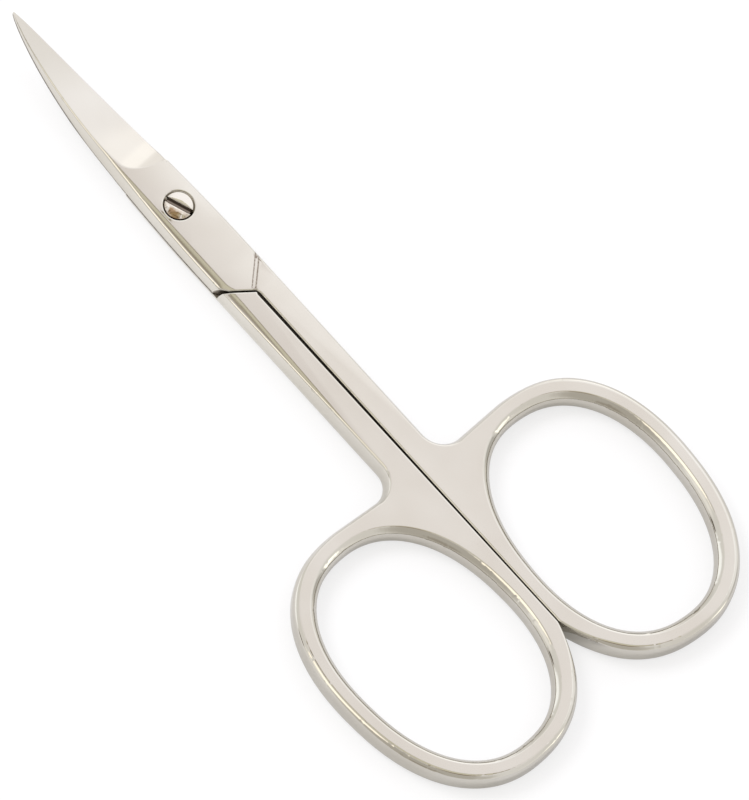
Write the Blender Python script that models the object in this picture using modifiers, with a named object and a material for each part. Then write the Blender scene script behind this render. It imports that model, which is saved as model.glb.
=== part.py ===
"""Curved manicure scissors: two forged halves crossed on one slotted pivot screw.

The pair lies on its back, closed. The pivot axis is Z through the origin, the blades point
along +Y and curve up, and the two finger rings lie towards -Y. The upper half has its ring
on the right and its cutting edge on the right, as on any pair for the right hand. Both
halves come from one flat forging: the lower half is the same forging turned over, and then
both pairs of blades are bent up along one dish-shaped face, so they slide over each other
at every opening.
"""

import math

import bmesh
import bpy
from mathutils import Matrix, Vector

MM = 0.001

# Stock and running gaps
STOCK = 2.8 * MM  # thickness of ring and shank, and of the two laps together
LAP_GAP = 0.10 * MM  # between the two laps and between the two blades
SHANK_GAP = 0.26 * MM  # between the shanks at the joint
RING_GAP = 0.08 * MM  # between the rings, which stop the closing

# Joint
JOINT_WIDTH = 6.12 * MM  # across both shanks, and across the lap, at half thickness
V_DEPTH = 11.57 * MM  # from the pivot down to the point where the shanks part
ARM_RISE_SHARE = 0.73  # rise of the lap's end for each unit to the side
ARM_GAP = 0.21 * MM  # between a lap's end and the shoulder that it meets
CORNER_RELIEF = 0.55 * MM  # how far the outer corner of a lap's end is cut back
CORNER_RELIEF_WIDTH = 0.90 * MM
GROOVE_WIDTH = 0.58 * MM  # line scribed across the front where lap and shank are one piece
GROOVE_DEPTH = 0.12 * MM
GROOVE_RISE_SHARE = 0.92
GROOVE_START = 0.54 * MM  # above the point where the shanks part
FACET_WIDTH = 0.55 * MM  # shallow facet along the outer front edge of lap and lower shank
FACET_DROP = 0.10 * MM
FACET_RUN = 18.0 * MM  # length over which it dies out along the shank

# Walls bow out between the two flat faces
JOINT_BOW = 0.40 * MM
SHANK_BOW = 0.55 * MM
RING_OUTER_BOW = 0.45 * MM
RING_INNER_BOW = 0.74 * MM
TIP_BOW_SHARE = 0.45  # of the blade's half width, where that is less than JOINT_BOW

# Shank and ring
FILLET_RADIUS = 2.4 * MM  # between shank and ring
RING_TOP = 35.1 * MM  # from the pivot down to the top of the ring beside the fillet
RING_DISTANCE = 49.98 * MM  # from the pivot down to the middle of the ring
RING_OFFSET = 11.12 * MM  # from the closing line out to the middle of the ring
OPENING_WIDTH = 18.08 * MM
OPENING_LENGTH = 25.5 * MM
RING_BAR = 2.38 * MM  # width of the ring's bar at half thickness
RING_TILT = math.radians(3.6)
RING_POWER = 2.27  # 2 is an ellipse, more is squarer
RING_BLEND = math.radians(24.0)  # stretch over which the flat closing side turns into bowed wall
RING_TOP_END = math.radians(95.0)  # where the outside of the bar turns into the ring's top

# Blades
BLADE_REACH = 24.9 * MM  # from the pivot to the tip
SIDE_START = 6.5 * MM  # below the pivot, where the sides begin to draw in
SIDE_RUN_POWER = 1.9
SIDE_DRAW_POWER = 1.37
RICASSO_AT = 4.3 * MM  # where the cutting edge begins
RICASSO_STEP = 0.12 * MM
RICASSO_RUN = 0.4 * MM  # length over which the side steps in
RICASSO_FADE = 9.0 * MM
EDGE_THICKNESS = 0.12 * MM
EDGE_LINE_AT_PIVOT = 3.5 * MM  # the ground face's lower line, carried back to the pivot
EDGE_LINE_ANGLE = math.radians(6.6)
GRIND_ANGLE = math.radians(15.7)  # roll of the ground face
GRIND_START = 7.55 * MM
GRIND_RADIUS = 5.3 * MM  # of the wheel where the ground face runs out
BEND_START = 9.0 * MM  # from the pivot axis
BEND_RADIUS = 41.0 * MM

# Pivot screw
SCREW_DIAMETER = 1.8 * MM
SCREW_CLEARANCE = 0.05 * MM
HEAD_DIAMETER = 2.86 * MM
HEAD_GAP = 0.16 * MM  # round the rim of the head
HEAD_LAND = 0.12 * MM  # straight rim of the hole above its countersink
HEAD_DOME = 0.14 * MM
SLOT_WIDTH = 0.48 * MM
SLOT_DEPTH = 0.42 * MM
SLOT_TURN = math.radians(21.0)
SCREW_END_CHAMFER = 0.12 * MM

# Corners
SHARP_CORNER = math.radians(25.0)  # an outline's corner from which its edge stays sharp
SHADING_CORNER = math.radians(24.0)

# Fineness of the mesh
WALL_STEPS = 4  # from half thickness to either face
RING_STEPS = 80
FILLET_STEPS = 9
SIDE_STEPS = 6  # along the joint and root of the blade
BEND_STEPS = 18  # along the bent stretch
NOSE_STEPS = 10
GROOVE_STEPS = 20
SCREW_STEPS = 40
DOME_STEPS = 4

OVERRUN = 2.0 * MM  # by which a cutter passes the piece that it cuts
WELD = 0.0001 * MM

# Turns a piece over sideways, front face down
TURN_OVER = Matrix.Translation((0.0, 0.0, STOCK)) @ Matrix.Rotation(math.pi, 4, "Y")

# Finishes: sRGB colour, metallic, roughness
NICKEL = ((0.86, 0.84, 0.81), 1.0, 0.18)
NICKEL_UNDER = ((0.84, 0.82, 0.79), 1.0, 0.2)
STEEL_SCREW = ((0.8, 0.78, 0.76), 1.0, 0.16)


def linear(channel):
    """Turns one sRGB channel to linear light."""
    return channel / 12.92 if channel <= 0.04045 else ((channel + 0.055) / 1.055) ** 2.4


def metal(name, finish):
    """Plated metal as one Principled material."""
    colour, metallic, roughness = finish
    material = bpy.data.materials.new(name)
    material.use_nodes = True
    shader = material.node_tree.nodes["Principled BSDF"]
    shader.inputs["Base Color"].default_value = [linear(c) for c in colour] + [1.0]
    shader.inputs["Metallic"].default_value = metallic
    shader.inputs["Roughness"].default_value = roughness
    return material


def new_object(name, mesh, collection):
    """Links a mesh to the scene under a name."""
    mesh.name = name
    piece = bpy.data.objects.new(name, mesh)
    collection.objects.link(piece)
    return piece


def blade_half_width(y):
    """Half the width of joint and blade at half thickness, drawn in to nothing at the tip."""
    run = max(0.0, y + SIDE_START) / (BLADE_REACH + SIDE_START)
    return 0.5 * JOINT_WIDTH * max(0.0, 1.0 - run ** SIDE_RUN_POWER) ** (1.0 / SIDE_DRAW_POWER)


def edge_side(y):
    """Cutting side of the blade, which steps in where the edge begins."""
    past = y - RICASSO_AT
    grown = min(1.0, max(0.0, past / RICASSO_RUN))
    left = min(1.0, max(0.0, 1.0 - past / RICASSO_FADE))
    return blade_half_width(y) - RICASSO_STEP * grown * left


def joint_bow(y):
    """How far the wall bows out along lap and blade."""
    return min(JOINT_BOW, TIP_BOW_SHARE * blade_half_width(y))


def ring_point(angle, width, length):
    """Point on a squared oval about the ring's middle, leaning out at the top."""
    c = math.cos(angle)
    s = math.sin(angle)
    x = 0.5 * width * math.copysign(abs(c) ** (2.0 / RING_POWER), c)
    y = 0.5 * length * math.copysign(abs(s) ** (2.0 / RING_POWER), s)
    leant = Matrix.Rotation(-RING_TILT, 2) @ Vector((x, y))
    return Vector((RING_OFFSET + leant.x, leant.y - RING_DISTANCE))


def ring_outer(angle):
    """Point on the outside of the ring's bar."""
    return ring_point(angle, OPENING_WIDTH + 2.0 * RING_BAR, OPENING_LENGTH + 2.0 * RING_BAR)


def closing_angle():
    """Angle where the outside of the ring meets the closing line, below the middle."""
    low = math.pi
    high = 1.5 * math.pi
    for _ in range(50):
        middle = 0.5 * (low + high)
        if ring_outer(middle).x < 0.5 * RING_GAP:
            low = middle
        else:
            high = middle
    return high


def closing_line(y):
    """Inner side of the shank, from the gap at the joint to the touch of the rings."""
    touch = ring_outer(closing_angle()).y
    share = (y + V_DEPTH) / (touch + V_DEPTH)
    return 0.5 * (SHANK_GAP + (RING_GAP - SHANK_GAP) * share)


def side_stations():
    """Places along the joint and blade: coarse at the root, even along the bend."""
    root = [-SIDE_START + (RICASSO_AT + SIDE_START) * i / SIDE_STEPS for i in range(SIDE_STEPS)]
    bent = [BEND_START + (BLADE_REACH - BEND_START) * i / BEND_STEPS for i in range(BEND_STEPS)]
    return root + [RICASSO_AT, RICASSO_AT + RICASSO_RUN] + bent


def half_outline():
    """Outline of the upper half at half thickness, with the bow of each stretch of wall.

    It runs counter-clockwise: down the closing side, round the ring, up the outside of the
    shank, round the blade and back along the end of the lap.
    """
    start = closing_angle()
    end = 2.0 * math.pi + RING_TOP_END
    outline = [(closing_line(-V_DEPTH), -V_DEPTH - ARM_GAP, 0.0)]
    for i in range(RING_STEPS + 1):
        angle = start + (end - start) * i / RING_STEPS
        point = ring_outer(angle)
        blend = min(1.0, (angle - start) / RING_BLEND)
        outline.append((point.x, point.y, RING_OUTER_BOW * blend))
    half = 0.5 * JOINT_WIDTH
    for i in range(FILLET_STEPS + 1):
        angle = -0.5 * math.pi * (1.0 + i / FILLET_STEPS)
        x = half + FILLET_RADIUS * (1.0 + math.cos(angle))
        y = -RING_TOP + FILLET_RADIUS * (1.0 + math.sin(angle))
        outline.append((x, y, SHANK_BOW))
    shank_middle = 0.5 * (FILLET_RADIUS - RING_TOP - V_DEPTH)
    outline.append((half, shank_middle, 0.5 * (SHANK_BOW + JOINT_BOW)))
    outline.append((half, -V_DEPTH, JOINT_BOW))
    stations = side_stations()
    for y in stations:
        outline.append((edge_side(y), y, joint_bow(y)))
    outline.append((0.0, BLADE_REACH, joint_bow(stations[-1])))
    for y in reversed(stations):
        outline.append((-blade_half_width(y), y, joint_bow(y)))
    relief = half - CORNER_RELIEF_WIDTH
    arm_start = -V_DEPTH + ARM_GAP
    outline.append((-half, arm_start + ARM_RISE_SHARE * half + CORNER_RELIEF, 0.0))
    outline.append((-relief, arm_start + ARM_RISE_SHARE * relief, 0.0))
    outline.append((0.0, arm_start, 0.0))
    return outline


def opening_outline():
    """Outline of the finger opening at half thickness, clockwise, as a hole runs."""
    points = []
    for i in range(RING_STEPS):
        point = ring_point(-2.0 * math.pi * i / RING_STEPS, OPENING_WIDTH, OPENING_LENGTH)
        points.append((point.x, point.y, RING_INNER_BOW))
    return points


def inset_loop(outline, share):
    """Moves each stretch of wall in by its bow times a share and gives the new corners."""
    count = len(outline)
    places = [Vector(p[:2]) for p in outline]
    moved = []
    for i, place in enumerate(places):
        before = (place - places[i - 1]).normalized()
        after = (places[(i + 1) % count] - place).normalized()
        inward_before = Vector((-before.y, before.x))
        inward_after = Vector((-after.y, after.x))
        inset_before = outline[i - 1][2] * share
        inset_after = outline[i][2] * share
        turn = before.cross(after)
        if abs(turn) > math.sin(SHARP_CORNER):
            shift = (inset_before * after - inset_after * before) / turn
        else:
            middle = (inward_before + inward_after).normalized()
            shift = middle * 0.5 * (inset_before + inset_after) / middle.dot(inward_after)
        moved.append(place + shift)
    return moved


def bowed_solid(name, loops, collection):
    """Solid between two flat faces whose walls bow out, from an outline and its holes."""
    body = bmesh.new()
    levels = [i / WALL_STEPS for i in range(-WALL_STEPS, WALL_STEPS + 1)]
    rims = {-1.0: [], 1.0: []}
    for outline in loops:
        rows = []
        for level in levels:
            z = 0.5 * STOCK * (1.0 + level)
            corners = inset_loop(outline, level * level)
            rows.append([body.verts.new((p.x, p.y, z)) for p in corners])
        for lower, upper in zip(rows, rows[1:]):
            for i in range(len(outline)):
                body.faces.new((lower[i - 1], lower[i], upper[i], upper[i - 1]))
        for level, row in ((-1.0, rows[0]), (1.0, rows[-1])):
            rims[level] += [body.edges.get((row[i - 1], row[i])) for i in range(len(row))]
    for rim in rims.values():
        bmesh.ops.triangle_fill(body, edges=rim, use_beauty=True)
    bmesh.ops.triangulate(body, faces=body.faces)
    bmesh.ops.recalc_face_normals(body, faces=body.faces)
    mesh = bpy.data.meshes.new(name)
    body.to_mesh(mesh)
    body.free()
    return new_object(name, mesh, collection)


def prism(name, points, half_depth, collection):
    """Solid of a flat outline, drawn in XY and as deep along Z as twice half_depth."""
    curve = bpy.data.curves.new(name, "CURVE")
    curve.dimensions = "2D"
    curve.fill_mode = "BOTH"
    curve.extrude = half_depth
    spline = curve.splines.new("POLY")
    spline.points.add(len(points) - 1)
    for point, (x, y) in zip(spline.points, points):
        point.co = (x, y, 0.0, 1.0)
    spline.use_cyclic_u = True
    drawn = bpy.data.objects.new(name, curve)
    collection.objects.link(drawn)
    bpy.context.view_layer.update()
    evaluated = drawn.evaluated_get(bpy.context.evaluated_depsgraph_get())
    mesh = bpy.data.meshes.new_from_object(evaluated)
    bpy.data.objects.remove(drawn)
    body = bmesh.new()
    body.from_mesh(mesh)
    bmesh.ops.remove_doubles(body, verts=body.verts, dist=WELD)
    bmesh.ops.recalc_face_normals(body, faces=body.faces)
    body.to_mesh(mesh)
    body.free()
    return new_object(name, mesh, collection)


def drum(name, radius, low, high, steps, collection):
    """Upright cylinder between two heights on the Z axis."""
    body = bmesh.new()
    bmesh.ops.create_cone(
        body, cap_ends=True, segments=steps, radius1=radius, radius2=radius, depth=high - low
    )
    bmesh.ops.translate(body, verts=body.verts, vec=(0.0, 0.0, 0.5 * (low + high)))
    mesh = bpy.data.meshes.new(name)
    body.to_mesh(mesh)
    body.free()
    return new_object(name, mesh, collection)


def block(name, size, place, collection):
    """Box of a size, with its own frame given by a matrix."""
    body = bmesh.new()
    bmesh.ops.create_cube(body, size=1.0)
    bmesh.ops.scale(body, verts=body.verts, vec=size)
    bmesh.ops.transform(body, verts=body.verts, matrix=place)
    mesh = bpy.data.meshes.new(name)
    body.to_mesh(mesh)
    body.free()
    return new_object(name, mesh, collection)


def cut(piece, cutter):
    """Takes a cutter's space out of a piece."""
    cutter.hide_render = True
    cutter.display_type = "WIRE"
    boolean = piece.modifiers.new(cutter.name, "BOOLEAN")
    boolean.operation = "DIFFERENCE"
    boolean.solver = "EXACT"
    boolean.object = cutter


def settle(piece):
    """Replaces a piece's mesh with what its modifiers make of it."""
    bpy.context.view_layer.update()
    evaluated = piece.evaluated_get(bpy.context.evaluated_depsgraph_get())
    mesh = bpy.data.meshes.new_from_object(evaluated)
    piece.modifiers.clear()
    old = piece.data
    piece.data = mesh
    bpy.data.meshes.remove(old)
    mesh.name = piece.name


def lap_cutter(collection):
    """Space under the upper half's lap and blade, which the lower half's lap fills."""
    half = JOINT_WIDTH
    beyond = BLADE_REACH + OVERRUN
    points = [
        (half, -V_DEPTH + ARM_RISE_SHARE * half),
        (half, beyond),
        (-half, beyond),
        (-half, -V_DEPTH - OVERRUN),
        (0.0, -V_DEPTH - OVERRUN),
        (0.0, -V_DEPTH),
    ]
    top = 0.5 * (STOCK + LAP_GAP)
    cutter = prism("cut_lap", points, 0.5 * (top + OVERRUN), collection)
    cutter.data.transform(Matrix.Translation((0.0, 0.0, 0.5 * (top - OVERRUN))))
    return cutter


def grind_cutter(collection):
    """Space in front of the ground face: a flat that ends in the round of the wheel."""
    points = [(BLADE_REACH + OVERRUN, 0.0), (BLADE_REACH + OVERRUN, GRIND_RADIUS)]
    for i in range(NOSE_STEPS + 1):
        angle = math.pi + 0.5 * math.pi * i / NOSE_STEPS
        y = GRIND_START + GRIND_RADIUS * math.cos(angle)
        z = GRIND_RADIUS * (1.0 + math.sin(angle))
        points.append((y, z))
    cutter = prism("cut_grind", points, JOINT_WIDTH, collection)
    upright = Matrix.Rotation(0.5 * math.pi, 4, "Z") @ Matrix.Rotation(0.5 * math.pi, 4, "X")
    roll = Matrix.Rotation(GRIND_ANGLE, 4, "Y")
    swing = Matrix.Rotation(EDGE_LINE_ANGLE, 4, "Z")
    height = 0.5 * (STOCK + LAP_GAP) + EDGE_THICKNESS
    place = Matrix.Translation((EDGE_LINE_AT_PIVOT, 0.0, height))
    cutter.data.transform(place @ swing @ roll @ upright)
    return cutter


def facet_cutter(name, low, high, narrowing, collection):
    """Wedge that takes a shallow facet off the front left edge between two places along Y.

    Below the point where the shanks part, it narrows by an angle.
    """
    slope = math.atan2(FACET_DROP, FACET_WIDTH)
    face_edge = 0.5 * JOINT_WIDTH - JOINT_BOW - FACET_WIDTH
    middle = 0.5 * (low + high) + V_DEPTH
    tilt = Matrix.Rotation(-slope, 4, "Y")
    turn = Matrix.Rotation(-narrowing, 4, "Z")
    centre = Matrix.Translation((-0.5 * JOINT_WIDTH, middle, 0.5 * STOCK))
    place = Matrix.Translation((-face_edge, -V_DEPTH, STOCK))
    size = (JOINT_WIDTH, high - low, STOCK)
    return block(name, size, place @ turn @ tilt @ centre, collection)


def groove_cutter(collection):
    """Rod that scribes the line between lap and shank across the front of the right side."""
    half = 0.5 * GROOVE_WIDTH
    radius = (half * half + GROOVE_DEPTH * GROOVE_DEPTH) / (2.0 * GROOVE_DEPTH)
    start = Vector((0.0, -V_DEPTH + GROOVE_START, STOCK + radius - GROOVE_DEPTH))
    along = Vector((1.0, GROOVE_RISE_SHARE, 0.0)).normalized()
    rod = drum("cut_groove", radius, -GROOVE_WIDTH, JOINT_WIDTH, GROOVE_STEPS, collection)
    turn = along.to_track_quat("Z", "Y").to_matrix().to_4x4()
    rod.data.transform(Matrix.Translation(start) @ turn)
    return rod


def flat_half(collection, cutters):
    """One half as it comes from the forge, still flat, lap upwards and ring to the right."""
    blank = bowed_solid("flat_half", [half_outline(), opening_outline()], collection)
    lap_facet = facet_cutter("cut_lap_facet", -V_DEPTH, BLADE_REACH, 0.0, cutters)
    narrowing = math.atan2(FACET_WIDTH, FACET_RUN)
    facet_end = -V_DEPTH - FACET_RUN
    shank_facet = facet_cutter("cut_shank_facet", facet_end, 0.0, narrowing, cutters)
    shank_facet.data.transform(TURN_OVER)
    shaping = [lap_cutter(cutters), grind_cutter(cutters), groove_cutter(cutters)]
    for cutter in shaping + [lap_facet, shank_facet]:
        cut(blank, cutter)
    settle(blank)
    return blank


def bend_up(piece):
    """Bends the blade up: beyond the bend's start it rises with the distance from the pivot."""
    body = bmesh.new()
    body.from_mesh(piece.data)
    bmesh.ops.remove_doubles(body, verts=body.verts, dist=WELD)
    for i in range(BEND_STEPS):
        y = BEND_START + (BLADE_REACH - BEND_START) * i / BEND_STEPS
        bmesh.ops.bisect_plane(
            body,
            geom=list(body.verts) + list(body.edges) + list(body.faces),
            dist=WELD,
            plane_co=(0.0, y, 0.0),
            plane_no=(0.0, 1.0, 0.0),
        )
    bmesh.ops.triangulate(body, faces=body.faces)
    for vert in body.verts:
        run = math.hypot(vert.co.x, vert.co.y) - BEND_START
        if vert.co.y > 0.0 and run > 0.0:
            vert.co.z += BEND_RADIUS - math.sqrt(BEND_RADIUS * BEND_RADIUS - run * run)
    bmesh.ops.recalc_face_normals(body, faces=body.faces)
    body.to_mesh(piece.data)
    body.free()


def half_from(blank, name, turn, bore, finish, collection):
    """Upper or lower half: a copy of the forging, turned, bored for the screw and bent."""
    piece = new_object(name, blank.data.copy(), collection)
    piece.data.transform(turn)
    cut(piece, bore)
    settle(piece)
    bend_up(piece)
    piece.data.materials.clear()
    piece.data.materials.append(finish)
    piece.data.shade_smooth()
    piece.data.set_sharp_from_angle(angle=SHADING_CORNER)
    return piece


def plain_bore(cutters):
    """Hole for the screw's shank."""
    bore = 0.5 * SCREW_DIAMETER + SCREW_CLEARANCE
    return drum("cut_bore", bore, -OVERRUN, STOCK + OVERRUN, SCREW_STEPS, cutters)


def seat_height(radius):
    """Height of the countersink's cone, which opens at a right angle, at a radius."""
    rim = 0.5 * HEAD_DIAMETER + HEAD_GAP
    return STOCK - HEAD_LAND - (rim - radius)


def seated_bore(cutters):
    """Hole for the screw's shank with a countersink for its head, open at the front face."""
    bore = 0.5 * SCREW_DIAMETER + SCREW_CLEARANCE
    rim = 0.5 * HEAD_DIAMETER + HEAD_GAP
    profile = [
        (0.0, STOCK + OVERRUN),
        (rim, STOCK + OVERRUN),
        (rim, seat_height(rim)),
        (bore, seat_height(bore)),
        (bore, -OVERRUN),
        (0.0, -OVERRUN),
    ]
    return turned("cut_seated_bore", profile, cutters)


def turned(name, profile, collection):
    """Solid turned about Z from a profile that runs down its outer side."""
    mesh = bpy.data.meshes.new(name)
    points = [(x, 0.0, z) for x, z in profile]
    mesh.from_pydata(points, [(i, i + 1) for i in range(len(points) - 1)], [])
    piece = new_object(name, mesh, collection)
    screw = piece.modifiers.new("turn", "SCREW")
    screw.steps = SCREW_STEPS
    screw.render_steps = SCREW_STEPS
    screw.use_merge_vertices = True
    screw.merge_threshold = WELD
    settle(piece)
    return piece


def pivot_screw(finish, collection, cutters):
    """Countersunk slotted screw, its end dressed flush with the back of the lower half."""
    head = 0.5 * HEAD_DIAMETER
    shank = 0.5 * SCREW_DIAMETER
    profile = []
    dome_radius = (head * head + HEAD_DOME * HEAD_DOME) / (2.0 * HEAD_DOME)
    for i in range(DOME_STEPS + 1):
        x = head * i / DOME_STEPS
        profile.append((x, STOCK + HEAD_DOME - dome_radius + math.sqrt(dome_radius ** 2 - x * x)))
    profile += [
        (head, seat_height(head) + SCREW_CLEARANCE),
        (shank, seat_height(shank) + SCREW_CLEARANCE),
        (shank, SCREW_END_CHAMFER),
        (shank - SCREW_END_CHAMFER, 0.0),
        (0.0, 0.0),
    ]
    screw = turned("pivot_screw", profile, collection)
    turn = Matrix.Rotation(SLOT_TURN, 4, "Z")
    centre = Matrix.Translation((0.0, 0.0, STOCK + HEAD_DOME - SLOT_DEPTH + 0.5 * STOCK))
    slot = block("cut_slot", (SLOT_WIDTH, 2.0 * HEAD_DIAMETER, STOCK), turn @ centre, cutters)
    cut(screw, slot)
    settle(screw)
    screw.data.materials.append(finish)
    screw.data.shade_smooth()
    screw.data.set_sharp_from_angle(angle=SHADING_CORNER)
    return screw


def main():
    for old in list(bpy.data.objects):
        bpy.data.objects.remove(old)
    parts = bpy.data.collections.new("manicure_scissors")
    cutters = bpy.data.collections.new("cutters")
    for collection in (parts, cutters):
        bpy.context.scene.collection.children.link(collection)
    blank = flat_half(cutters, cutters)
    nickel = metal("nickel_upper", NICKEL)
    nickel_under = metal("nickel_lower", NICKEL_UNDER)
    half_from(blank, "upper_half", Matrix(), seated_bore(cutters), nickel, parts)
    half_from(blank, "lower_half", TURN_OVER, plain_bore(cutters), nickel_under, parts)
    bpy.data.objects.remove(blank)
    pivot_screw(metal("steel_screw", STEEL_SCREW), parts, cutters)


main()
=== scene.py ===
import collections
import math

import bmesh
import bpy
import numpy as np
from mathutils import Matrix, Vector
from mathutils.geometry import delaunay_2d_cdt


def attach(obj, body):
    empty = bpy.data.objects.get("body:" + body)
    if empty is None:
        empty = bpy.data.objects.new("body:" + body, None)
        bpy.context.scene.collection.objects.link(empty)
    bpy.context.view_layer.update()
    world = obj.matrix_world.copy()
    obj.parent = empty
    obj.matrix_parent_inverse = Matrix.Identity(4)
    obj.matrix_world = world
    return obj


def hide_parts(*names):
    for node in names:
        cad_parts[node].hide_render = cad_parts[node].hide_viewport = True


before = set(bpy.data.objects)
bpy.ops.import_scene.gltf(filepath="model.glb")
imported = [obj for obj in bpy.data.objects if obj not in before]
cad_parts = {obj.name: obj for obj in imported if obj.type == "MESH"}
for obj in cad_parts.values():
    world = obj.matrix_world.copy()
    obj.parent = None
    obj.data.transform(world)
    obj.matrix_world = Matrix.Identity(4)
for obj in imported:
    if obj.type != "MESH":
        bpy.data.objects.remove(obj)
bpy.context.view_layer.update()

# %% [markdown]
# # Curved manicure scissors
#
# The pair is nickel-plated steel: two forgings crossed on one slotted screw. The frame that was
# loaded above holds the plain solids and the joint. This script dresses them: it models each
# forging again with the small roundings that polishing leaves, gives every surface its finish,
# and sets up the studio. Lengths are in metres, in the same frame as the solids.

MM = 0.001


def clamped(value):
    """Keeps a share between 0 and 1."""
    return min(1.0, max(0.0, value))


def linear(code):
    """Turns an sRGB hex code to linear RGBA."""
    channels = [int(code[i:i + 2], 16) / 255.0 for i in (0, 2, 4)]
    return [c / 12.92 if c <= 0.04045 else ((c + 0.055) / 1.055) ** 2.4 for c in channels] + [1.0]


def in_scene(name, data):
    """A new object of the scene."""
    thing = bpy.data.objects.new(name, data)
    bpy.context.scene.collection.objects.link(thing)
    return thing


# %% Helpers for nodes
TIMES = {"operation": "MULTIPLY"}
IN_COLOUR = {"data_type": "RGBA"}


def set_inputs(tree, node, links):
    """Sets a node's inputs, each to a value, a socket or another node's output in use."""
    for name, value in links.items():
        key = int(name[1:]) if name[0] == "i" and name[1:].isdigit() else name.replace("_", " ")
        if isinstance(value, bpy.types.Node):
            value = next(socket for socket in value.outputs if socket.enabled)
        if isinstance(value, bpy.types.NodeSocket):
            tree.links.new(value, node.inputs[key])
        else:
            node.inputs[key].default_value = value


def add_node(tree, kind, settings=None, **links):
    """Adds a node with its settings and links, where i0, i1 and so on are inputs by number."""
    node = tree.nodes.new(kind)
    for name, value in (settings or {}).items():
        setattr(node, name, value)
    set_inputs(tree, node, links)
    return node


# %% [markdown]
# ## Camera
#
# The photograph looks down on the pair from the left, a little towards the rings, with the
# blades to the upper left. A long lens far away keeps both rings the same size, as there. It
# stands no farther than this, because the views from other sides are clipped at a distance.

# %% Camera at the photograph's angle
SEEN_FROM = Vector((-0.3697, -0.1901, 0.9100)).normalized()
PICTURE_RIGHT = Vector((0.7322, -0.6622, 0.1591))
PICTURE_CENTRE = Vector((2.286, -26.71, 0.55)) * MM
CAMERA_DISTANCE = 2500.0 * MM
NEAREST_SEEN = 10.0 * MM
PIXELS_PER_MM = 10.30
PICTURE_WIDTH = 749
SENSOR = 36.0  # its width in mm

picture_up = SEEN_FROM.cross(PICTURE_RIGHT).normalized()
picture_right = picture_up.cross(SEEN_FROM)
camera = in_scene("camera", bpy.data.cameras.new("camera"))
turn = Matrix((picture_right, picture_up, SEEN_FROM)).transposed().to_4x4()
camera.matrix_world = Matrix.Translation(PICTURE_CENTRE + SEEN_FROM * CAMERA_DISTANCE) @ turn
camera.data.sensor_fit = "HORIZONTAL"
camera.data.sensor_width = SENSOR
camera.data.lens = PIXELS_PER_MM * CAMERA_DISTANCE / MM * SENSOR / PICTURE_WIDTH
camera.data.clip_start = NEAREST_SEEN
bpy.context.scene.camera = camera
print("lens", round(camera.data.lens, 1), "mm")

# %% [markdown]
# ## Floor
#
# The background is a white table. It takes the soft shadow of the pair as any pale floor does.
# For the camera two thirds of it are plain white, so the shadow stays faint. The metal shows a
# smaller share of that white, which is dim in front of the pair and bright behind it, as the
# room round a table is when the light comes from behind.

# %% White floor
FLOOR_SIZE = 2.0

floor_mesh = bpy.data.meshes.new("floor")
reach = 0.5 * FLOOR_SIZE
corners = [(-reach, -reach, 0.0), (reach, -reach, 0.0), (reach, reach, 0.0), (-reach, reach, 0.0)]
floor_mesh.from_pydata(corners, [], [(0, 1, 2, 3)])
floor = in_scene("floor", floor_mesh)
print("floor of", FLOOR_SIZE, "m")

# %% White that the camera and the metal see
FLOOR_WHITE = 0.68  # share of plain white for the camera
FLOOR_IN_METAL = 0.30  # and for the metal
NEAR_Y = -42.0 * MM  # by the rings
NEAR_GLOW = 0.55
FAR_Y = -12.0 * MM  # by the joint
FAR_GLOW = 1.3

table = bpy.data.materials.new("white_table")
table.use_nodes = True
tree = table.node_tree
tree.nodes.clear()
ray = add_node(tree, "ShaderNodeLightPath").outputs
shown = add_node(tree, "ShaderNodeMath", {"operation": "MAXIMUM"},
                 i0=ray["Is Glossy Ray"], i1=ray["Is Transmission Ray"])
shown = add_node(tree, "ShaderNodeMath", TIMES, i0=shown, i1=FLOOR_IN_METAL)
seen = add_node(tree, "ShaderNodeMath", TIMES, i0=ray["Is Camera Ray"], i1=FLOOR_WHITE)
share = add_node(tree, "ShaderNodeMath", {"operation": "ADD"}, i0=seen, i1=shown)
place = add_node(tree, "ShaderNodeTexCoord").outputs["Object"]
along = add_node(tree, "ShaderNodeSeparateXYZ", i0=place).outputs[1]
bright = add_node(tree, "ShaderNodeMapRange", Value=along, From_Min=NEAR_Y, From_Max=FAR_Y,
                  To_Min=NEAR_GLOW, To_Max=FAR_GLOW)
bright = add_node(tree, "ShaderNodeMix", {"data_type": "FLOAT"},
                  i0=ray["Is Glossy Ray"], i2=1.0, i3=bright)
matt = add_node(tree, "ShaderNodeBsdfDiffuse", Color=linear("EEEEF2"))
glow = add_node(tree, "ShaderNodeEmission", Color=linear("FFFFFF"), Strength=bright)
mixed = add_node(tree, "ShaderNodeMixShader", i0=share, i1=matt, i2=glow)
add_node(tree, "ShaderNodeOutputMaterial", Surface=mixed)
floor_mesh.materials.append(table)
print("table:", len(tree.nodes), "nodes")

# %% [markdown]
# ## Studio light
#
# Polished metal shows the room more than itself, so the room is built as a dome of soft panels:
# large boxes at the right, a bright one at the left, a dim side at the front left, rings of light
# and shade overhead, and small strips low all round. Each panel is a direction, the two angles
# between which it fades out, a colour and a strength, and a later one lies over an earlier one.

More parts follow.
